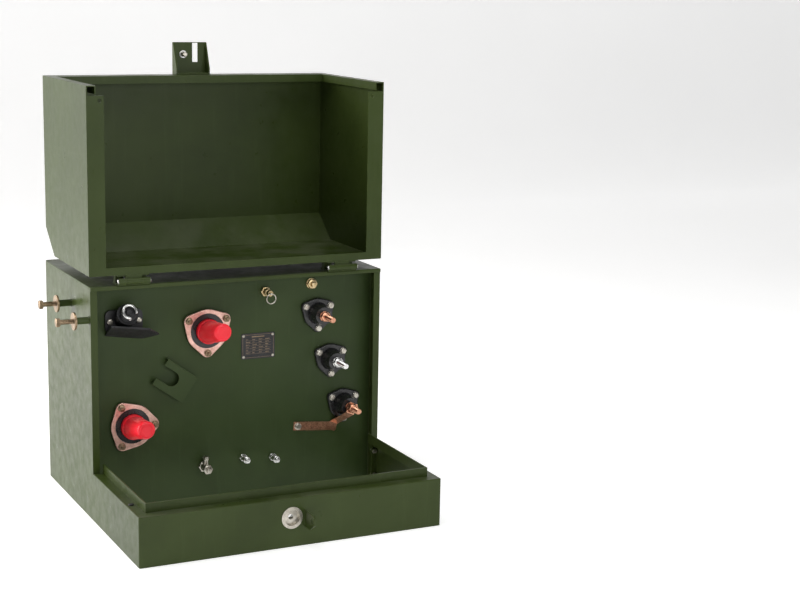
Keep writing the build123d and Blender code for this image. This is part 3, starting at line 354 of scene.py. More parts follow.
def paint(name, dark, mid, light, gloss=0.34):
    """Sprayed semi-gloss enamel over sheet steel."""
    orange_peel = 0.18
    s = Surface(name, metallic=0.0, specular_ior_level=0.22)
    broad = s.noise(2.6, 5.0, 0.6, distortion=0.4)
    base = s.ramp(broad, [(0.3, dark), (0.5, mid), (0.72, light)])
    cloud = s.noise(17.0, 6.0, 0.65)
    base = s.mix(s.grey(cloud, [(0.45, 0.0), (0.8, 0.35)]), base, light)
    streak = s.noise(6.0, 5.0, 0.6, stretch=(9.0, 9.0, 0.7))
    base = s.mix(s.grey(streak, [(0.56, 0.0), (0.8, 0.22)]), base, tuple(c * 1.5 + 0.01 for c in light))
    fleck = s.cells(260.0)
    base = s.mix(s.grey(fleck, [(0.02, 0.5), (0.06, 0.0)]), base, tuple(c * 0.6 for c in dark))
    dust = s.settle()
    base = s.mix(s.math("MULTIPLY", dust, 0.16), base, (0.32, 0.31, 0.26))
    worn = s.math("MULTIPLY", s.edges(), s.grey(s.noise(46.0, 6.0), [(0.5, 0.0), (0.66, 0.8)]))
    base = s.mix(worn, base, tuple(c * 1.9 + 0.02 for c in light))
    s.colour(base)
    rough = s.grey(s.noise(34.0, 6.0, 0.6), [(0.3, gloss - 0.07), (0.7, gloss + 0.1)])
    rough = s.mix(s.math("MULTIPLY", dust, 0.6), rough, (0.62, 0.62, 0.62))
    s.roughness(rough)
    s.bump(s.noise(420.0, 3.0, 0.5), orange_peel, 0.0002)
    s.bump(s.noise(5.0, 2.0, 0.5), 0.05, 0.004)
    return s.mat


def metal(name, colour, dark, rough=0.3, grain=(1, 1, 30), pitted=0.25, tarnish=0.4):
    """Plated or machined metal: fine directional marks and cloudy tarnish."""
    s = Surface(name, metallic=1.0)
    cloud = s.noise(60.0, 6.0, 0.6)
    base = s.ramp(cloud, [(0.3, dark), (0.62, colour), (0.85, tuple(min(1, c * 1.12) for c in colour))])
    spots = s.grey(s.noise(230.0, 5.0), [(0.56, 0.0), (0.7, tarnish)])
    base = s.mix(spots, base, tuple(c * 0.5 for c in dark))
    polished = tuple(min(1, c * 1.25 + 0.03) for c in colour)
    base = s.mix(s.math("MULTIPLY", s.edges(0.0006), 0.5), base, polished)
    s.colour(base)
    marks = s.noise(300.0, 3.0, 0.6, stretch=grain)
    s.roughness(s.grey(marks, [(0.3, rough - 0.08), (0.7, rough + 0.14)]))
    s.bump(marks, 0.12, 0.0002)
    s.bump(s.noise(800.0, 4.0), pitted, 0.0001)
    return s.mat


def plastic(name, dark, light, rough=0.4, texture=500.0, depth=0.15, **sockets):
    """Moulded plastic, rubber or cast epoxy."""
    s = Surface(name, specular_ior_level=0.45, **sockets)
    base = s.ramp(s.noise(28.0, 5.0, 0.6), [(0.3, dark), (0.72, light)])
    scuff = s.noise(90.0, 8.0, 0.7, stretch=(1.0, 1.0, 3.0))
    base = s.mix(s.grey(scuff, [(0.6, 0.0), (0.78, 0.4)]), base, tuple(c * 1.5 + 0.012 for c in light))
    base = s.mix(s.math("MULTIPLY", s.edges(0.0009), 0.3), base, tuple(c * 1.6 + 0.015 for c in light))
    s.colour(base)
    s.roughness(s.grey(s.noise(70.0, 6.0), [(0.3, rough - 0.08), (0.7, rough + 0.12)]))
    s.bump(s.noise(texture, 3.0), depth, 0.00025)
    s.bump(s.noise(14.0, 3.0), 0.05, 0.002)
    return s.mat


green = paint("olive_enamel", (0.026, 0.041, 0.007), (0.035, 0.053, 0.010), (0.044, 0.065, 0.015))
green_inner = paint(
    "olive_enamel_inside", (0.026, 0.044, 0.011), (0.034, 0.056, 0.015), (0.042, 0.067, 0.020), gloss=0.42
)
steel = metal("zinc_steel", (0.62, 0.62, 0.60), (0.36, 0.36, 0.35), 0.3)
hardware = metal("plated_hardware", (0.60, 0.57, 0.50), (0.33, 0.30, 0.25), 0.3)
# Dark bronze. On the high-voltage clamp nuts its darkness is painted shade for the shadow they sit in. The lifting
# hardware and the nameplate lines use it too.
dark_bronze = metal(
    "weathered_bronze_and_painted_shade", (0.34, 0.25, 0.16), (0.17, 0.12, 0.075), 0.36, pitted=0.4, tarnish=0.6
)
tin = metal("tin_plate", (0.86, 0.86, 0.84), (0.6, 0.6, 0.59), 0.24, tarnish=0.2)
bronze = metal("cast_bronze", (0.84, 0.55, 0.47), (0.56, 0.31, 0.25), 0.36, pitted=0.5)
copper = metal("copper", (0.80, 0.42, 0.27), (0.46, 0.21, 0.13), 0.27)
brass = metal("brass", (0.70, 0.56, 0.33), (0.40, 0.29, 0.14), 0.3)
iron = metal("core_steel", (0.42, 0.42, 0.44), (0.2, 0.2, 0.21), 0.4, grain=(1, 160, 1))
red = plastic(
    "red_vinyl", (0.93, 0.008, 0.020), (0.98, 0.020, 0.042), 0.4, subsurface_weight=0.08, coat_weight=0.15
)
epoxy = plastic(
    "black_epoxy", (0.010, 0.010, 0.011), (0.02, 0.02, 0.021), 0.28, texture=300.0, coat_weight=0.2
)
black = plastic("black_moulding", (0.012, 0.012, 0.013), (0.024, 0.024, 0.026), 0.42)
rubber = plastic("black_rubber", (0.012, 0.012, 0.012), (0.022, 0.022, 0.021), 0.62, depth=0.35)


def paper_wrap():
    s = Surface("oiled_kraft", specular_ior_level=0.35)
    base = s.ramp(s.noise(40.0, 6.0), [(0.3, (0.24, 0.14, 0.055)), (0.7, (0.4, 0.26, 0.12))])
    wave = s.node("ShaderNodeTexWave", wave_type="BANDS", bands_direction="Z")
    wave.inputs["Scale"].default_value = 22.0
    wave.inputs["Distortion"].default_value = 0.6
    s.link(s.coords, wave.inputs["Vector"])
    base = s.mix(s.grey(wave.outputs["Fac"], [(0.0, 0.6), (0.2, 0.0)]), base, (0.1, 0.055, 0.02))
    s.colour(base)
    s.roughness(s.grey(s.noise(90.0), [(0.3, 0.45), (0.7, 0.7)]))
    s.bump(wave.outputs["Fac"], 0.4, 0.0006)
    s.bump(s.noise(600.0), 0.3, 0.0002)
    return s.mat


kraft = paper_wrap()

skins = {
    "green_paint": green,
    "steel": steel,
    "tin": tin,
    "bronze": bronze,
    "copper": copper,
    "brass": brass,
    "red_plastic": red,
    "black_epoxy": epoxy,
    "black_plastic": black,
    "black_rubber": rubber,
    "core_steel": iron,
    "kraft_paper": kraft,
}
slots = {s["node"]: s["material_slot"] for s in frame["record"]["subparts"]}
for name, obj in nodes.items():
    obj.data.materials.clear()
    obj.data.materials.append(skins[slots[name]])
plated = (
    "lifting_washers", "hv_clamp_nuts", "lv_clamp_bolts", "fuse_screws", "sill_bolts", "lock_bolt", "lock_cup"
)
for name in plated:
    nodes[name].data.materials[0] = hardware
for name in ("front_plate", "parking_stand"):
    nodes[name].data.materials[0] = green_inner


def ease(name, width):
    """Rounds a CAD node's sharp edges, as bent and brushed sheet metal has."""
    obj = nodes[name]
    weld = obj.modifiers.new("weld", "WELD")
    weld.merge_threshold = 1e-5
    flat = obj.modifiers.new("flat", "DECIMATE")
    flat.decimate_type = "DISSOLVE"
    flat.angle_limit = math.radians(1.0)
    bevel = obj.modifiers.new("bevel", "BEVEL")
    bevel.width = width
    bevel.segments = 2
    bevel.limit_method = "ANGLE"
    bevel.angle_limit = math.radians(35)
    bevel.harden_normals = False
    for poly in obj.data.polygons:
        poly.use_smooth = True
    smooth = obj.modifiers.new("normals", "WEIGHTED_NORMAL")
    smooth.keep_sharp = True


eased = {
    "tank_cover": 0.0012, "tank_wrapper": 0.0008, "front_sill": 0.0009, "hood_shell": 0.0009,
    "hasp_bracket": 0.0008, "padlock_staple": 0.0008, "hinge_bases": 0.0006, "hinge_leaf_left": 0.0006,
    "hinge_leaf_right": 0.0006, "parking_stand": 0.0006, "front_plate": 0.0005, "drip_tray": 0.0004,
    "fuse_housing": 0.0008, "core_clamp": 0.001, "core_loops": 0.0008,
}
for name, width in eased.items():
    ease(name, width)

OUT = Vector((0, -1, 0))
wall_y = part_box("front_plate")[0].y


def wall_frame(x, z, off=0.0):
    return facing(Vector((x, wall_y - off, z)), OUT)


# ------------------------------------------------------------------ fasteners and studs
bolts = Shape()
for lo, hi in islands("lifting_bolts"):
    side = 1 if lo.x > 0 else -1
    near = lo.x if side > 0 else hi.x
    m = facing(Vector((near, (lo.y + hi.y) / 2, (lo.z + hi.z) / 2)), (side, 0, 0))
    length = hi.x - lo.x
    shank = length - 0.010
    bolts.thread(m, 0.00635, 0, shank * 0.62, pitch=0.0020, depth=0.0006)
    bolts.lathe(m, [(0.0058, shank * 0.6), (0.00635, shank * 0.63), (0.00635, shank + 0.001)], 32)
    bolts.lathe(m, [(0.0102, shank - 0.0004), (0.0106, shank), (0.0106, shank + 0.001)], 40)
    bolts.nut(m, 0.012, shank + 0.0006, length)
bolts.make("lifting_bolt_set", dark_bronze, "tank", "lifting_bolts", slot="steel")

washers = Shape()
for lo, hi in islands("lifting_washers"):
    side = 1 if lo.x > 0 else -1
    near = lo.x if side > 0 else hi.x
    m = facing(Vector((near, (lo.y + hi.y) / 2, (lo.z + hi.z) / 2)), (side, 0, 0))
    t, r = hi.x - lo.x, (hi.y - lo.y) / 2
    profile = [
        (0.0069, 0), (r - 0.0008, 0), (r, 0.0008), (r, t - 0.0012),
        (r - 0.0012, t), (0.0125, t), (0.0075, t), (0.0069, t - 0.0006),
    ]
    washers.lathe(m, profile, 72, closed=True)
washers.make("lifting_washer_set", dark_bronze, "tank", "lifting_washers", slot="steel")

for number, skin, slot_name in ((1, copper, "copper"), (2, tin, "tin"), (3, copper, "copper")):
    lo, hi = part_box(f"lv_stud_{number}")
    c = middle(f"lv_stud_{number}")
    m = facing(Vector((c.x, hi.y, c.z)), OUT)
    length = hi.y - lo.y
    inner = hi.y - wall_y
    body_end = wall_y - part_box(f"lv_bushing_{number}")[0].y
    stud = Shape()
    stud.lathe(m, [(0.0068, 0), (0.0078, 0.001), (0.0078, inner + body_end)], 40)
    stud.thread(m, 0.008, inner + body_end - 0.002, length, pitch=0.0016, depth=0.0006, seg=40)
    seat = inner + body_end + 0.0020
    collar = [(0.0125, seat - 0.0002), (0.0138, seat), (0.0138, seat + 0.0014), (0.0125, seat + 0.0016)]
    stud.lathe(m, collar, 48)
    stud.nut(m, 0.014, seat + 0.0016, seat + 0.012)
    if number == 3:
        outer = wall_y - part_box("ground_strap")[0].y + inner + 0.0002
        stud.nut(m, 0.014, outer, outer + 0.012)
    stud.make(f"lv_stud_{number}_turned", skin, "tank", f"lv_stud_{number}", slot=slot_name)

clamps = Shape()
clamp_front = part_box("hv_clamp_upper")[0].y
for lo, hi in islands("hv_clamp_nuts"):
    m = facing(Vector(((lo.x + hi.x) / 2, hi.y, (lo.z + hi.z) / 2)), OUT)
    seat = hi.y - clamp_front
    clamps.thread(m, 0.0048, 0, hi.y - lo.y, pitch=0.0014, depth=0.0005, seg=24)
    washer = [(0.0093, seat), (0.0098, seat + 0.0003), (0.0098, seat + 0.0013), (0.0093, seat + 0.0016)]
    clamps.lathe(m, washer, 40)
    clamps.nut(m, 0.0092, seat + 0.0016, seat + 0.008, both=True)
# Painted shade: the clamp nuts take the dark bronze because they sit in shadow on the bright clamps.
clamps.make("hv_clamp_nut_set", dark_bronze, "tank", "hv_clamp_nuts", slot="steel")

heads = Shape()
for lo, hi in islands("lv_clamp_bolts"):
    m = facing(Vector(((lo.x + hi.x) / 2, hi.y, (lo.z + hi.z) / 2)), OUT)
    length = hi.y - lo.y
    under = length - 0.007
    heads.lathe(m, [(0.004, 0), (0.004, under + 0.001)], 24)
    washer = [(0.0082, under), (0.0086, under + 0.0003), (0.0086, under + 0.0010), (0.0082, under + 0.0013)]
    heads.lathe(m, washer, 36)
    heads.nut(m, 0.0084, under + 0.0013, length)
heads.make("lv_clamp_bolt_set", hardware, "tank", "lv_clamp_bolts", slot="steel")

screws = Shape()
for lo, hi in islands("fuse_screws"):
    m = facing(Vector(((lo.x + hi.x) / 2, hi.y, (lo.z + hi.z) / 2)), OUT)
    under = hi.y - lo.y - 0.006
    screws.lathe(m, [(0.004, 0), (0.004, under + 0.001)], 24)
    screws.nut(m, 0.008, under, hi.y - lo.y)
screws.make("fuse_screw_set", hardware, "tank", "fuse_screws", slot="steel")

seams = Shape()
for lo, hi in islands("sill_bolts"):
    m = facing(Vector(((lo.x + hi.x) / 2, hi.y, (lo.z + hi.z) / 2)), OUT)
    length = hi.y - lo.y
    seams.thread(m, 0.004, 0, length - 0.005, pitch=0.00125, depth=0.0004, seg=20)
    seams.nut(m, 0.0075, length - 0.006, length)
seams.make("sill_bolt_set", hardware, "tank", "sill_bolts", slot="steel")

lo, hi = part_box("lock_bolt")
clip_c = middle("lock_clip")
m = facing(Vector((clip_c.x, lo.y, clip_c.z)), (0, 1, 0))
length = hi.y - lo.y
penta = Shape()
lock_thread = 0.03
thread_frame = facing(Vector((clip_c.x, lo.y + lock_thread, clip_c.z)), OUT)
penta.thread(thread_frame, 0.0065, 0, lock_thread, pitch=0.0020, depth=0.0006)
penta.lathe(m, [(0.0059, 0.029), (0.0065, 0.031), (0.0065, length - 0.0115)], 40)
penta.nut(m, 0.011, length - 0.012, length, sides=5)
penta.make("penta_bolt", hardware, "lock_bolt", "lock_bolt", slot="steel")

pins = Shape()
for lo, hi in islands("hinge_pins"):
    m = facing(Vector((lo.x, (lo.y + hi.y) / 2, (lo.z + hi.z) / 2)), (1, 0, 0))
    n, r = hi.x - lo.x, (hi.z - lo.z) / 2
    button = [
        (0.0004, 0), (r * 0.6, 0.0003), (r * 0.93, 0.0012), (r, 0.0026), (r * 0.96, 0.003), (0.004, 0.003)
    ]
    pins.lathe(m, button + [(radius, n - height) for radius, height in reversed(button)], 40)
pins.make("hinge_pin_set", steel, "tank", "hinge_pins", slot="steel")

rivets = Shape()
for lo, hi in islands("nameplate_rivets"):
    m = facing(Vector(((lo.x + hi.x) / 2, hi.y, (lo.z + hi.z) / 2)), OUT)
    t, r = hi.y - lo.y, (hi.x - lo.x) / 2
    dome = [
        (r, t - 0.0016), (r * 0.97, t - 0.0012), (r * 0.8, t - 0.0005), (r * 0.45, t - 0.0001), (0.0002, t)
    ]
    rivets.lathe(m, [(0.002, 0), (0.002, t - 0.0017)] + dome, 28)
rivets.make("nameplate_rivet_set", hardware, "tank", "nameplate_rivets", slot="steel")

bumpers = Shape()
for lo, hi in islands("sill_bumpers"):
    m = facing(Vector(((lo.x + hi.x) / 2, (lo.y + hi.y) / 2, lo.z)), (0, 0, 1), up=Vector((0, 1, 0)))
    t, r = hi.z - lo.z, (hi.x - lo.x) / 2
    side_wall = [(r * 0.96, 0), (r, 0.0004), (r * 0.99, t * 0.5), (r * 0.9, t * 0.85)]
    crown = [(r * 0.7, t * 0.97), (r * 0.3, t), (0.0003, t)]
    bumpers.lathe(m, side_wall + crown, 36)
bumpers.make("sill_bumper_set", rubber, "tank", "sill_bumpers", slot="black_rubber")


def ring_point(radius, angle, height=0.0):
    """A point at a turn round the local Z axis."""
    return Vector((radius * math.cos(angle), radius * math.sin(angle), height))


# ------------------------------------------------------------------ red caps on the high-voltage wells
cap_seg = 72
skirt_r, collar_r, nose_r, nose_rim = 0.033, 0.0308, 0.0238, 0.0065
for level in ("upper", "lower"):
    well_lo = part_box(f"hv_well_{level}")[0]
    c = middle(f"hv_well_{level}")
    lo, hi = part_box(f"hv_cap_{level}")
    seat = well_lo.y - 0.0002
    m = facing(Vector((c.x, seat, c.z)), OUT)
    reach = seat - lo.y
    band = 0.014
    lean = (hi.z - c.z - 0.024) / (reach - band)
    cap = Shape()
    inside = [(0.0003, band - 0.001), (0.0213, band - 0.001), (0.0215, 0.0), (0.0215, -0.0195)]
    plug = [(0.0222, -0.02), (0.0248, -0.02), (0.0255, -0.0193), (0.028, -0.0005), (0.0285, 0.0)]
    skirt = [
        (0.0322, 0.0), (skirt_r, 0.0008), (skirt_r, 0.0046), (0.0324, 0.0052), (0.0324, 0.0062),
        (skirt_r, 0.0068), (skirt_r, band - 0.0012), (0.0326, band - 0.0003), (0.0318, band),
        (0.0312, band + 0.0006), (collar_r, band + 0.003),
    ]
    profile = inside + plug + skirt
    cone_start, cone_end, cone_steps = band + 0.003, reach - nose_rim, 10
    for k in range(1, cone_steps + 1):
        f = k / cone_steps
        profile.append((collar_r + (nose_r - collar_r) * f ** 0.96, cone_start + (cone_end - cone_start) * f))
    for k in range(1, 9):
        a = math.pi / 2 * k / 8
        profile.append((nose_r - nose_rim * (1 - math.cos(a)), cone_end + nose_rim * math.sin(a)))
    profile += [(0.0150, reach - 0.0001), (0.0142, reach - 0.0008), (0.0128, reach - 0.0010)]
    profile.append((0.0002, reach - 0.0010))
    turns = [2 * math.pi * i / cap_seg for i in range(cap_seg)]
    rings = []
    for r, h in profile:
        shift = Vector((0, lean * max(0.0, h - band), 0))
        rings.append([ring_point(r, a, h) + shift for a in turns])
    cap.grid(m, rings)
    cap.make(f"red_cap_{level}", red, f"hv_cap_{level}", f"hv_cap_{level}", slot="red_plastic", sharp=50)

# ------------------------------------------------------------------ fuse handle with its hook eye
fuse_dir = Vector(next(j["axis"] for j in frame["joints"] if j["name"] == "fuse_pull")).normalized()
fuse_c = middle("fuse_link")
along = (wall_y - fuse_c.y) / fuse_dir.y
wall_point = fuse_c + fuse_dir * along
m = facing(wall_point, fuse_dir)
mouth = 0.046
handle = Shape()
boss = [
    (0.0068, -0.0235), (0.0073, -0.022), (0.0073, 0.0002), (0.0212, 0.0002), (0.0220, 0.0012),
    (0.0220, 0.0048), (0.0213, 0.0055), (0.0213, 0.0066), (0.0219, 0.0074), (0.0216, 0.0110),
    (0.0196, 0.0137), (0.0176, 0.0142), (0.0095, 0.0144), (0.0078, 0.0162), (0.0064, 0.0190),
    (0.0002, 0.0194),
]
handle.lathe(m, [(r, mouth + h) for r, h in boss], 56)
handle.make("fuse_handle_boss", black, "fuse_holder", slot="black_plastic")
eye = Shape()
eye_c, eye_r = mouth + 0.021, 0.0175
eye_sweep, eye_steps = -290, 40
foot = [(0, -eye_r, mouth + 0.012), (0, -eye_r, eye_c - 0.0040), (-0.0012, -eye_r, eye_c - 0.0012)]
points = [m @ Vector(p) for p in foot]
for k in range(1, eye_steps + 1):
    points.append(m @ ring_point(eye_r, math.radians(-90 + eye_sweep * k / eye_steps), eye_c))
last = len(points) - 1
eye.sweep(points, lambda k: 0.0036 if 0 < k < last else 0.0026, 16, up=fuse_dir)
shoulder = [(0.0044, mouth + 0.0132), (0.0044, mouth + 0.0150), (0.0040, mouth + 0.0162)]
eye.lathe(m @ Matrix.Translation((0, -eye_r, 0)), shoulder, 24)
eye.make("fuse_eye", tin, "fuse_holder", "fuse_handle", slot="tin")

# ------------------------------------------------------------------ drain valve, fill plug and relief valve
def square(half):
    return [(-half, -half), (half, -half), (half, half), (-half, half)]


lo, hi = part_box("drain_valve")
x = middle("drain_valve").x
z = lo.z + 0.013
m = wall_frame(x, z)
drain = Shape()
drain.lathe(m, [(0.0085, -0.013), (0.009, -0.012), (0.009, 0.001)], 32)
drain.nut(m, 0.015, 0, 0.010)
barrel = [
    (0.0112, 0.0098), (0.0112, 0.013), (0.0104, 0.015), (0.0104, 0.028), (0.0112, 0.030), (0.0112, 0.0322)
]
drain.lathe(m, barrel, 40)
drain.nut(m, 0.0133, 0.032, 0.041, both=True)
drain.prism(m, square(0.0055), 0.0405, 0.050, 0.001)
up = facing(Vector((x, wall_y - 0.021, z)), (0, 0, 1), up=Vector((0, 1, 0)))
drain.lathe(up, [(0.006, 0.004), (0.006, 0.020), (0.0068, 0.0215), (0.0068, 0.0245)], 32)
drain.nut(up, 0.0085, 0.024, 0.032)
drain.make("drain_valve_body", hardware, "tank", "drain_valve", slot="steel")

c = middle("fill_plug")
m = wall_frame(c.x, c.z)
fill = Shape()
fill.thread(m, 0.009, -0.013, 0.001, pitch=0.0016, depth=0.0005)
fill.lathe(m, [(0.0145, 0), (0.015, 0.0005), (0.015, 0.003), (0.0142, 0.004), (0.013, 0.0042)], 48)
fill.nut(m, 0.014, 0.004, 0.014)
fill.prism(m, square(0.006), 0.0135, 0.024, 0.001)
fill.make("fill_plug_body", brass, "tank", "fill_plug", slot="brass")

c = middle("relief_valve")
m = wall_frame(c.x, c.z)
relief = Shape()
relief.lathe(m, [(0.0085, -0.013), (0.009, -0.012), (0.009, 0.001)], 32)
relief.nut(m, 0.014, 0, 0.009)
spring_case = [
    (0.0100, 0.0088), (0.0100, 0.0120), (0.0094, 0.0128), (0.0094, 0.0142), (0.0100, 0.0150),
    (0.0100, 0.0248), (0.0092, 0.0262), (0.0080, 0.0266), (0.0080, 0.0385), (0.0072, 0.0400),
    (0.0026, 0.0400), (0.0026, 0.0360),
]
relief.lathe(m, spring_case, 40)
relief.make("relief_valve_body", brass, "tank", "relief_valve", slot="brass")
ring = Shape()
rc = middle("relief_ring")
lo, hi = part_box("relief_ring")
ring_c = Vector((rc.x, lo.y + 0.0020, lo.z + 0.0146))
ring_r, ring_wire, ring_steps = 0.013, 0.0016, 56
turns = [2 * math.pi * k / ring_steps for k in range(ring_steps)]
loop = [ring_c + Vector((ring_r * math.cos(a), 0, ring_r * math.sin(a))) for a in turns]
ring.sweep(loop, ring_wire, 12, closed=True)
stem = [
    (0.0020, 0.017), (0.0024, 0.018), (0.0024, 0.0415), (0.0032, 0.0425), (0.0034, 0.0455), (0.0028, 0.0470)
]
ring.lathe(m, stem, 24)
ring.make("relief_pull_ring", hardware, "relief_ring", "relief_ring", slot="steel")

# ------------------------------------------------------------------ ground connectors
grounds = Shape()
for lo, hi in islands("ground_connectors"):
    x, z = (lo.x + hi.x) / 2, (lo.z + hi.z) / 2
    m = wall_frame(x, z)
    grounds.thread(m, 0.005, -0.013, 0.001, pitch=0.0015, depth=0.0004, seg=24)
    grounds.nut(m, 0.0105, 0, 0.008)
    grounds.lathe(m, [(0.0084, 0.0078), (0.0095, 0.0092), (0.0095, 0.0142)], 40)
    for side in (-1, 1):
        post = [(0.0050, -0.0066), (0.0093, -0.0020), (0.0093, 0.0020), (0.0050, 0.0066)]
        grounds.prism(m, [(side * px, pz) for px, pz in post][::side], 0.0138, 0.034, 0.001)
    grounds.lathe(m, [(0.0086, 0.0285), (0.0095, 0.0295), (0.0095, 0.0335), (0.0086, 0.0345)], 40)
    grounds.thread(m, 0.0045, 0.026, 0.036, pitch=0.0014, depth=0.0004, seg=24)
    grounds.nut(m, 0.0075, 0.034, 0.042)
grounds.make("ground_connector_set", tin, "tank", "ground_connectors", slot="tin")

lo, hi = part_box("strap_bolt")
c = middle("strap_bolt")
m = wall_frame(c.x, c.z)
top = wall_y - lo.y
strap_head = Shape()
strap_head.thread(m, 0.005, wall_y - hi.y, top - 0.006, pitch=0.0015, depth=0.0004, seg=24)
washer = [(0.0098, top - 0.0070), (0.0100, top - 0.0067), (0.0100, top - 0.0058), (0.0096, top - 0.0055)]
strap_head.lathe(m, washer, 40)
strap_head.nut(m, 0.0098, top - 0.0055, top)
strap_head.make("strap_bolt_head", hardware, "tank", "strap_bolt", slot="steel")

# ------------------------------------------------------------------ nameplate: frame and plain ruled lines
lo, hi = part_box("nameplate")
face = lo.y
etch = Shape()


def stroke(x0, z0, x1, z1):
    etch.prism(
        facing(Vector((lo.x, face + 0.0001, lo.z)), OUT),
        [(x0, z0), (x1, z0), (x1, z1), (x0, z1)],
        0.0, 0.0003, 0.0001, 1,
    )


w, h, edge = hi.x - lo.x, hi.z - lo.z, 0.0035
for x0, z0, x1, z1 in (
    (edge, edge, w - edge, edge + 0.0006), (edge, h - edge - 0.0006, w - edge, h - edge),
    (edge, edge, edge + 0.0006, h - edge), (w - edge - 0.0006, edge, w - edge, h - edge),
):
    stroke(x0, z0, x1, z1)
rows = 6
for row in range(rows):
    z = h - 0.0175 - row * 0.0072
    stroke(0.012, z - 0.0026, w - 0.012, z - 0.0022)
    for column in range(4):
        x = 0.013 + column * 0.0185
        run = 0.006 + 0.0021 * ((row * 3 + column * 5) % 4)
        stroke(x, z, x + run, z + 0.0013)
stroke(0.030, h - 0.0108, w - 0.030, h - 0.0084)
etch.make("nameplate_etching", dark_bronze, "tank", slot="steel")

# ------------------------------------------------------------------ weld beads
def bead(shape, points, radius=0.0019, closed=False):
    """A painted weld: a low ripple along the joint."""
    dense = []
    pts = [Vector(p) for p in points]
    count = len(pts) if closed else len(pts) - 1
    for i in range(count):
        a, b = pts[i], pts[(i + 1) % len(pts)]
        n = max(2, int((b - a).length / 0.0016))
        dense += [a.lerp(b, k / n) for k in range(n)]
    if not closed:
        dense.append(pts[-1])

    def ripple(k):
        return radius * (1 + 0.16 * math.sin(k * 1.35) + 0.06 * math.sin(k * 0.41))

    shape.sweep(dense, ripple, 8, closed=closed)


welds = Shape()
for lo, hi in islands("lifting_bosses"):
    side = 1 if lo.x > 0 else -1
    x = lo.x if side > 0 else hi.x
    c = (lo + hi) / 2
    r = (hi.z - lo.z) / 2
    turns = [2 * math.pi * k / 24 for k in range(24)]
    bead(welds, [(x, c.y + r * math.cos(a), c.z + r * math.sin(a)) for a in turns], closed=True)
lo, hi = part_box("padlock_staple")
for x in (lo.x, hi.x):
    bead(welds, [(x, hi.y, lo.z + 0.002), (x, hi.y, hi.z - 0.002)], 0.0017)
for lo, hi in islands("hinge_bases"):
    bead(welds, [(lo.x + 0.004, hi.y, lo.z + 0.0003), (hi.x - 0.004, hi.y, lo.z + 0.0003)], 0.0017)
    for x in (lo.x, hi.x):
        bead(welds, [(x, hi.y - 0.002, lo.z + 0.0003), (x, lo.y + 0.024, lo.z + 0.0003)], 0.0015)
tank_lo, tank_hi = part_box("tank_wrapper")
seam_inset = 0.0016
for x in (tank_lo.x + seam_inset, tank_hi.x - seam_inset):
    bead(welds, [(x, tank_lo.y + 0.02, tank_hi.z), (x, tank_hi.y - 0.015, tank_hi.z)], 0.0013)
plate_lo, plate_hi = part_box("front_plate")
for x in (plate_lo.x, plate_hi.x):
    bead(welds, [(x, plate_lo.y, plate_lo.z + 0.004), (x, plate_lo.y, plate_hi.z - 0.004)], 0.0020)
z = plate_lo.z + 0.001
bead(welds, [(plate_lo.x + 0.004, plate_lo.y, z), (plate_hi.x - 0.004, plate_lo.y, z)], 0.0020)
welds.make("tank_weld_beads", green, "tank", slot="green_paint", sharp=180)

hood_welds = Shape()
lo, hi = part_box("hasp_bracket")
hood_lo, hood_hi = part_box("hood_shell")
y = hood_hi.y + 0.0002
for x in (lo.x, hi.x):
    bead(hood_welds, [(x, y, lo.z + 0.002), (x, y, hood_hi.z - 0.001)], 0.0016)
bead(hood_welds, [(lo.x + 0.003, hood_hi.y + 0.0003, lo.z), (hi.x - 0.003, hood_hi.y + 0.0003, lo.z)], 0.0016)
z = hood_lo.z - 0.0003
for name in ("hinge_leaf_left", "hinge_leaf_right"):
    lo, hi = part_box(name)
    for x in (lo.x, hi.x):
        bead(hood_welds, [(x, hi.y - 0.002, z), (x, hi.y - 0.036, z)], 0.0015)
    bead(hood_welds, [(lo.x + 0.003, hi.y, z), (hi.x - 0.003, hi.y, z)], 0.0015)
hood_welds.make("hood_weld_beads", green, "hood", slot="green_paint", sharp=180)

# ------------------------------------------------------------------ floor, light and camera
def floor_material():
    glow = {"emission_color": (1.0, 1.0, 1.0, 1.0), "emission_strength": 0.5}
    s = Surface("pale_floor", specular_ior_level=0.2, **glow)
    s.colour(s.ramp(s.noise(1.4, 4.0), [(0.3, (0.86, 0.86, 0.855)), (0.7, (0.9, 0.9, 0.895))]))
    s.roughness(s.grey(s.noise(30.0), [(0.3, 0.7), (0.7, 0.85)]))
    s.bump(s.noise(240.0), 0.05, 0.0005)
    return s.mat


# a floor that curves up into a wall behind the object
half_width, front, back, bend, storey = 14.0, -9.0, 5.0, 2.2, 3.5
below = 0.0006
bend_steps = 19
profile = [(front, -below)]
for k in range(bend_steps + 1):
    a = math.pi / 2 * k / bend_steps
    profile.append((back + bend * math.sin(a), bend * (1 - math.cos(a)) - below))
profile += [(back + bend, bend + storey * k) for k in (1, 2)]
cove = Shape()
rows_across = [[(-half_width, y, z), (half_width, y, z)] for y, z in profile]
cove.grid(Matrix.Identity(4), rows_across, close_u=False, cap=False)
cove.make("backdrop", floor_material(), None)

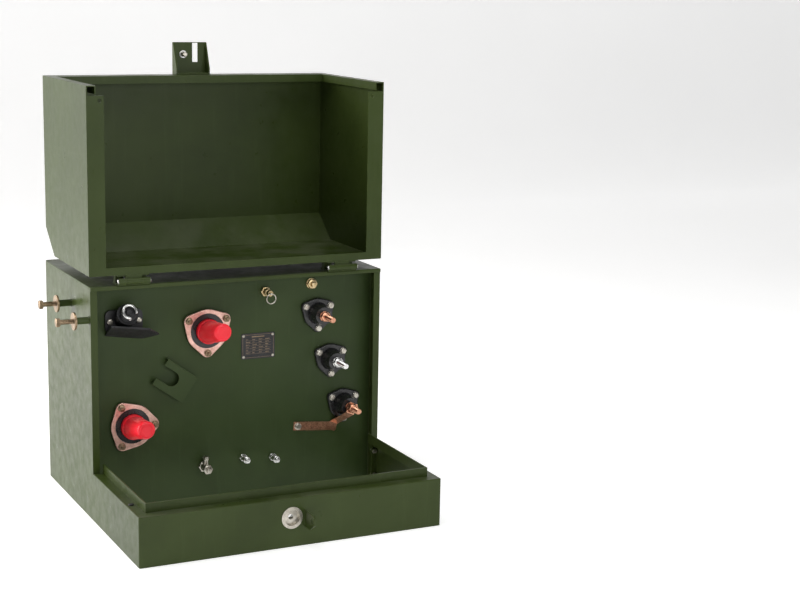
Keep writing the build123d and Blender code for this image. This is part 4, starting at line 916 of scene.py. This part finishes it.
world = bpy.data.worlds.new("studio")
scene.world = world
world.use_nodes = True
world.node_tree.nodes["Background"].inputs["Color"].default_value = (1.0, 1.0, 1.0, 1.0)
world.node_tree.nodes["Background"].inputs["Strength"].default_value = 0.06


def softbox(name, place, target, size, power, tint=(1, 1, 1)):
    light = bpy.data.lights.new(name, "AREA")
    light.shape = "RECTANGLE"
    light.size, light.size_y = size
    light.energy = power
    light.color = tint
    obj = bpy.data.objects.new(name, light)
    scene.collection.objects.link(obj)
    obj.location = place
    obj.rotation_mode = "QUATERNION"
    obj.rotation_quaternion = (Vector(target) - Vector(place)).to_track_quat("-Z", "Y")


softbox("left_softbox", (-3.6, 2.1, 1.6), (0, 0.1, 0.6), (3.4, 2.8), 250, (1.0, 0.96, 0.94))
softbox("front_softbox", (0.4, -4.4, 1.6), (0, -0.2, 0.35), (2.8, 1.6), 50)
softbox("top_softbox", (-0.4, -0.8, 4.0), (0, 0, 0.4), (3.2, 2.6), 76)
softbox("right_softbox", (3.6, -1.2, 1.6), (0, 0, 0.5), (1.6, 2.2), 30)

camera_x, camera_back, camera_z = -1.546, -4.017, 1.405
camera = bpy.data.cameras.new("camera")
camera.lens = 74.5
camera.sensor_width = 36.0
camera.clip_start, camera.clip_end = 0.05, 60.0
camera.dof.use_dof = False
view = bpy.data.objects.new("camera", camera)
scene.collection.objects.link(view)
yaw, pitch, roll = (math.radians(a) for a in (26.64, 11.05, -1.10))
seam_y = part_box("tank_wrapper")[0].y
forward = Vector((math.sin(yaw) * math.cos(pitch), math.cos(yaw) * math.cos(pitch), -math.sin(pitch)))
right = Vector((math.cos(yaw), -math.sin(yaw), 0))
down = forward.cross(right)
right_rolled = right * math.cos(roll) + down * math.sin(roll)
down_rolled = down * math.cos(roll) - right * math.sin(roll)
pose = Matrix((right_rolled, -down_rolled, -forward)).transposed().to_4x4()
pose.translation = Vector((camera_x, camera_back + seam_y, camera_z))
view.matrix_world = pose
scene.camera = view
scene.view_settings.view_transform = "Standard"
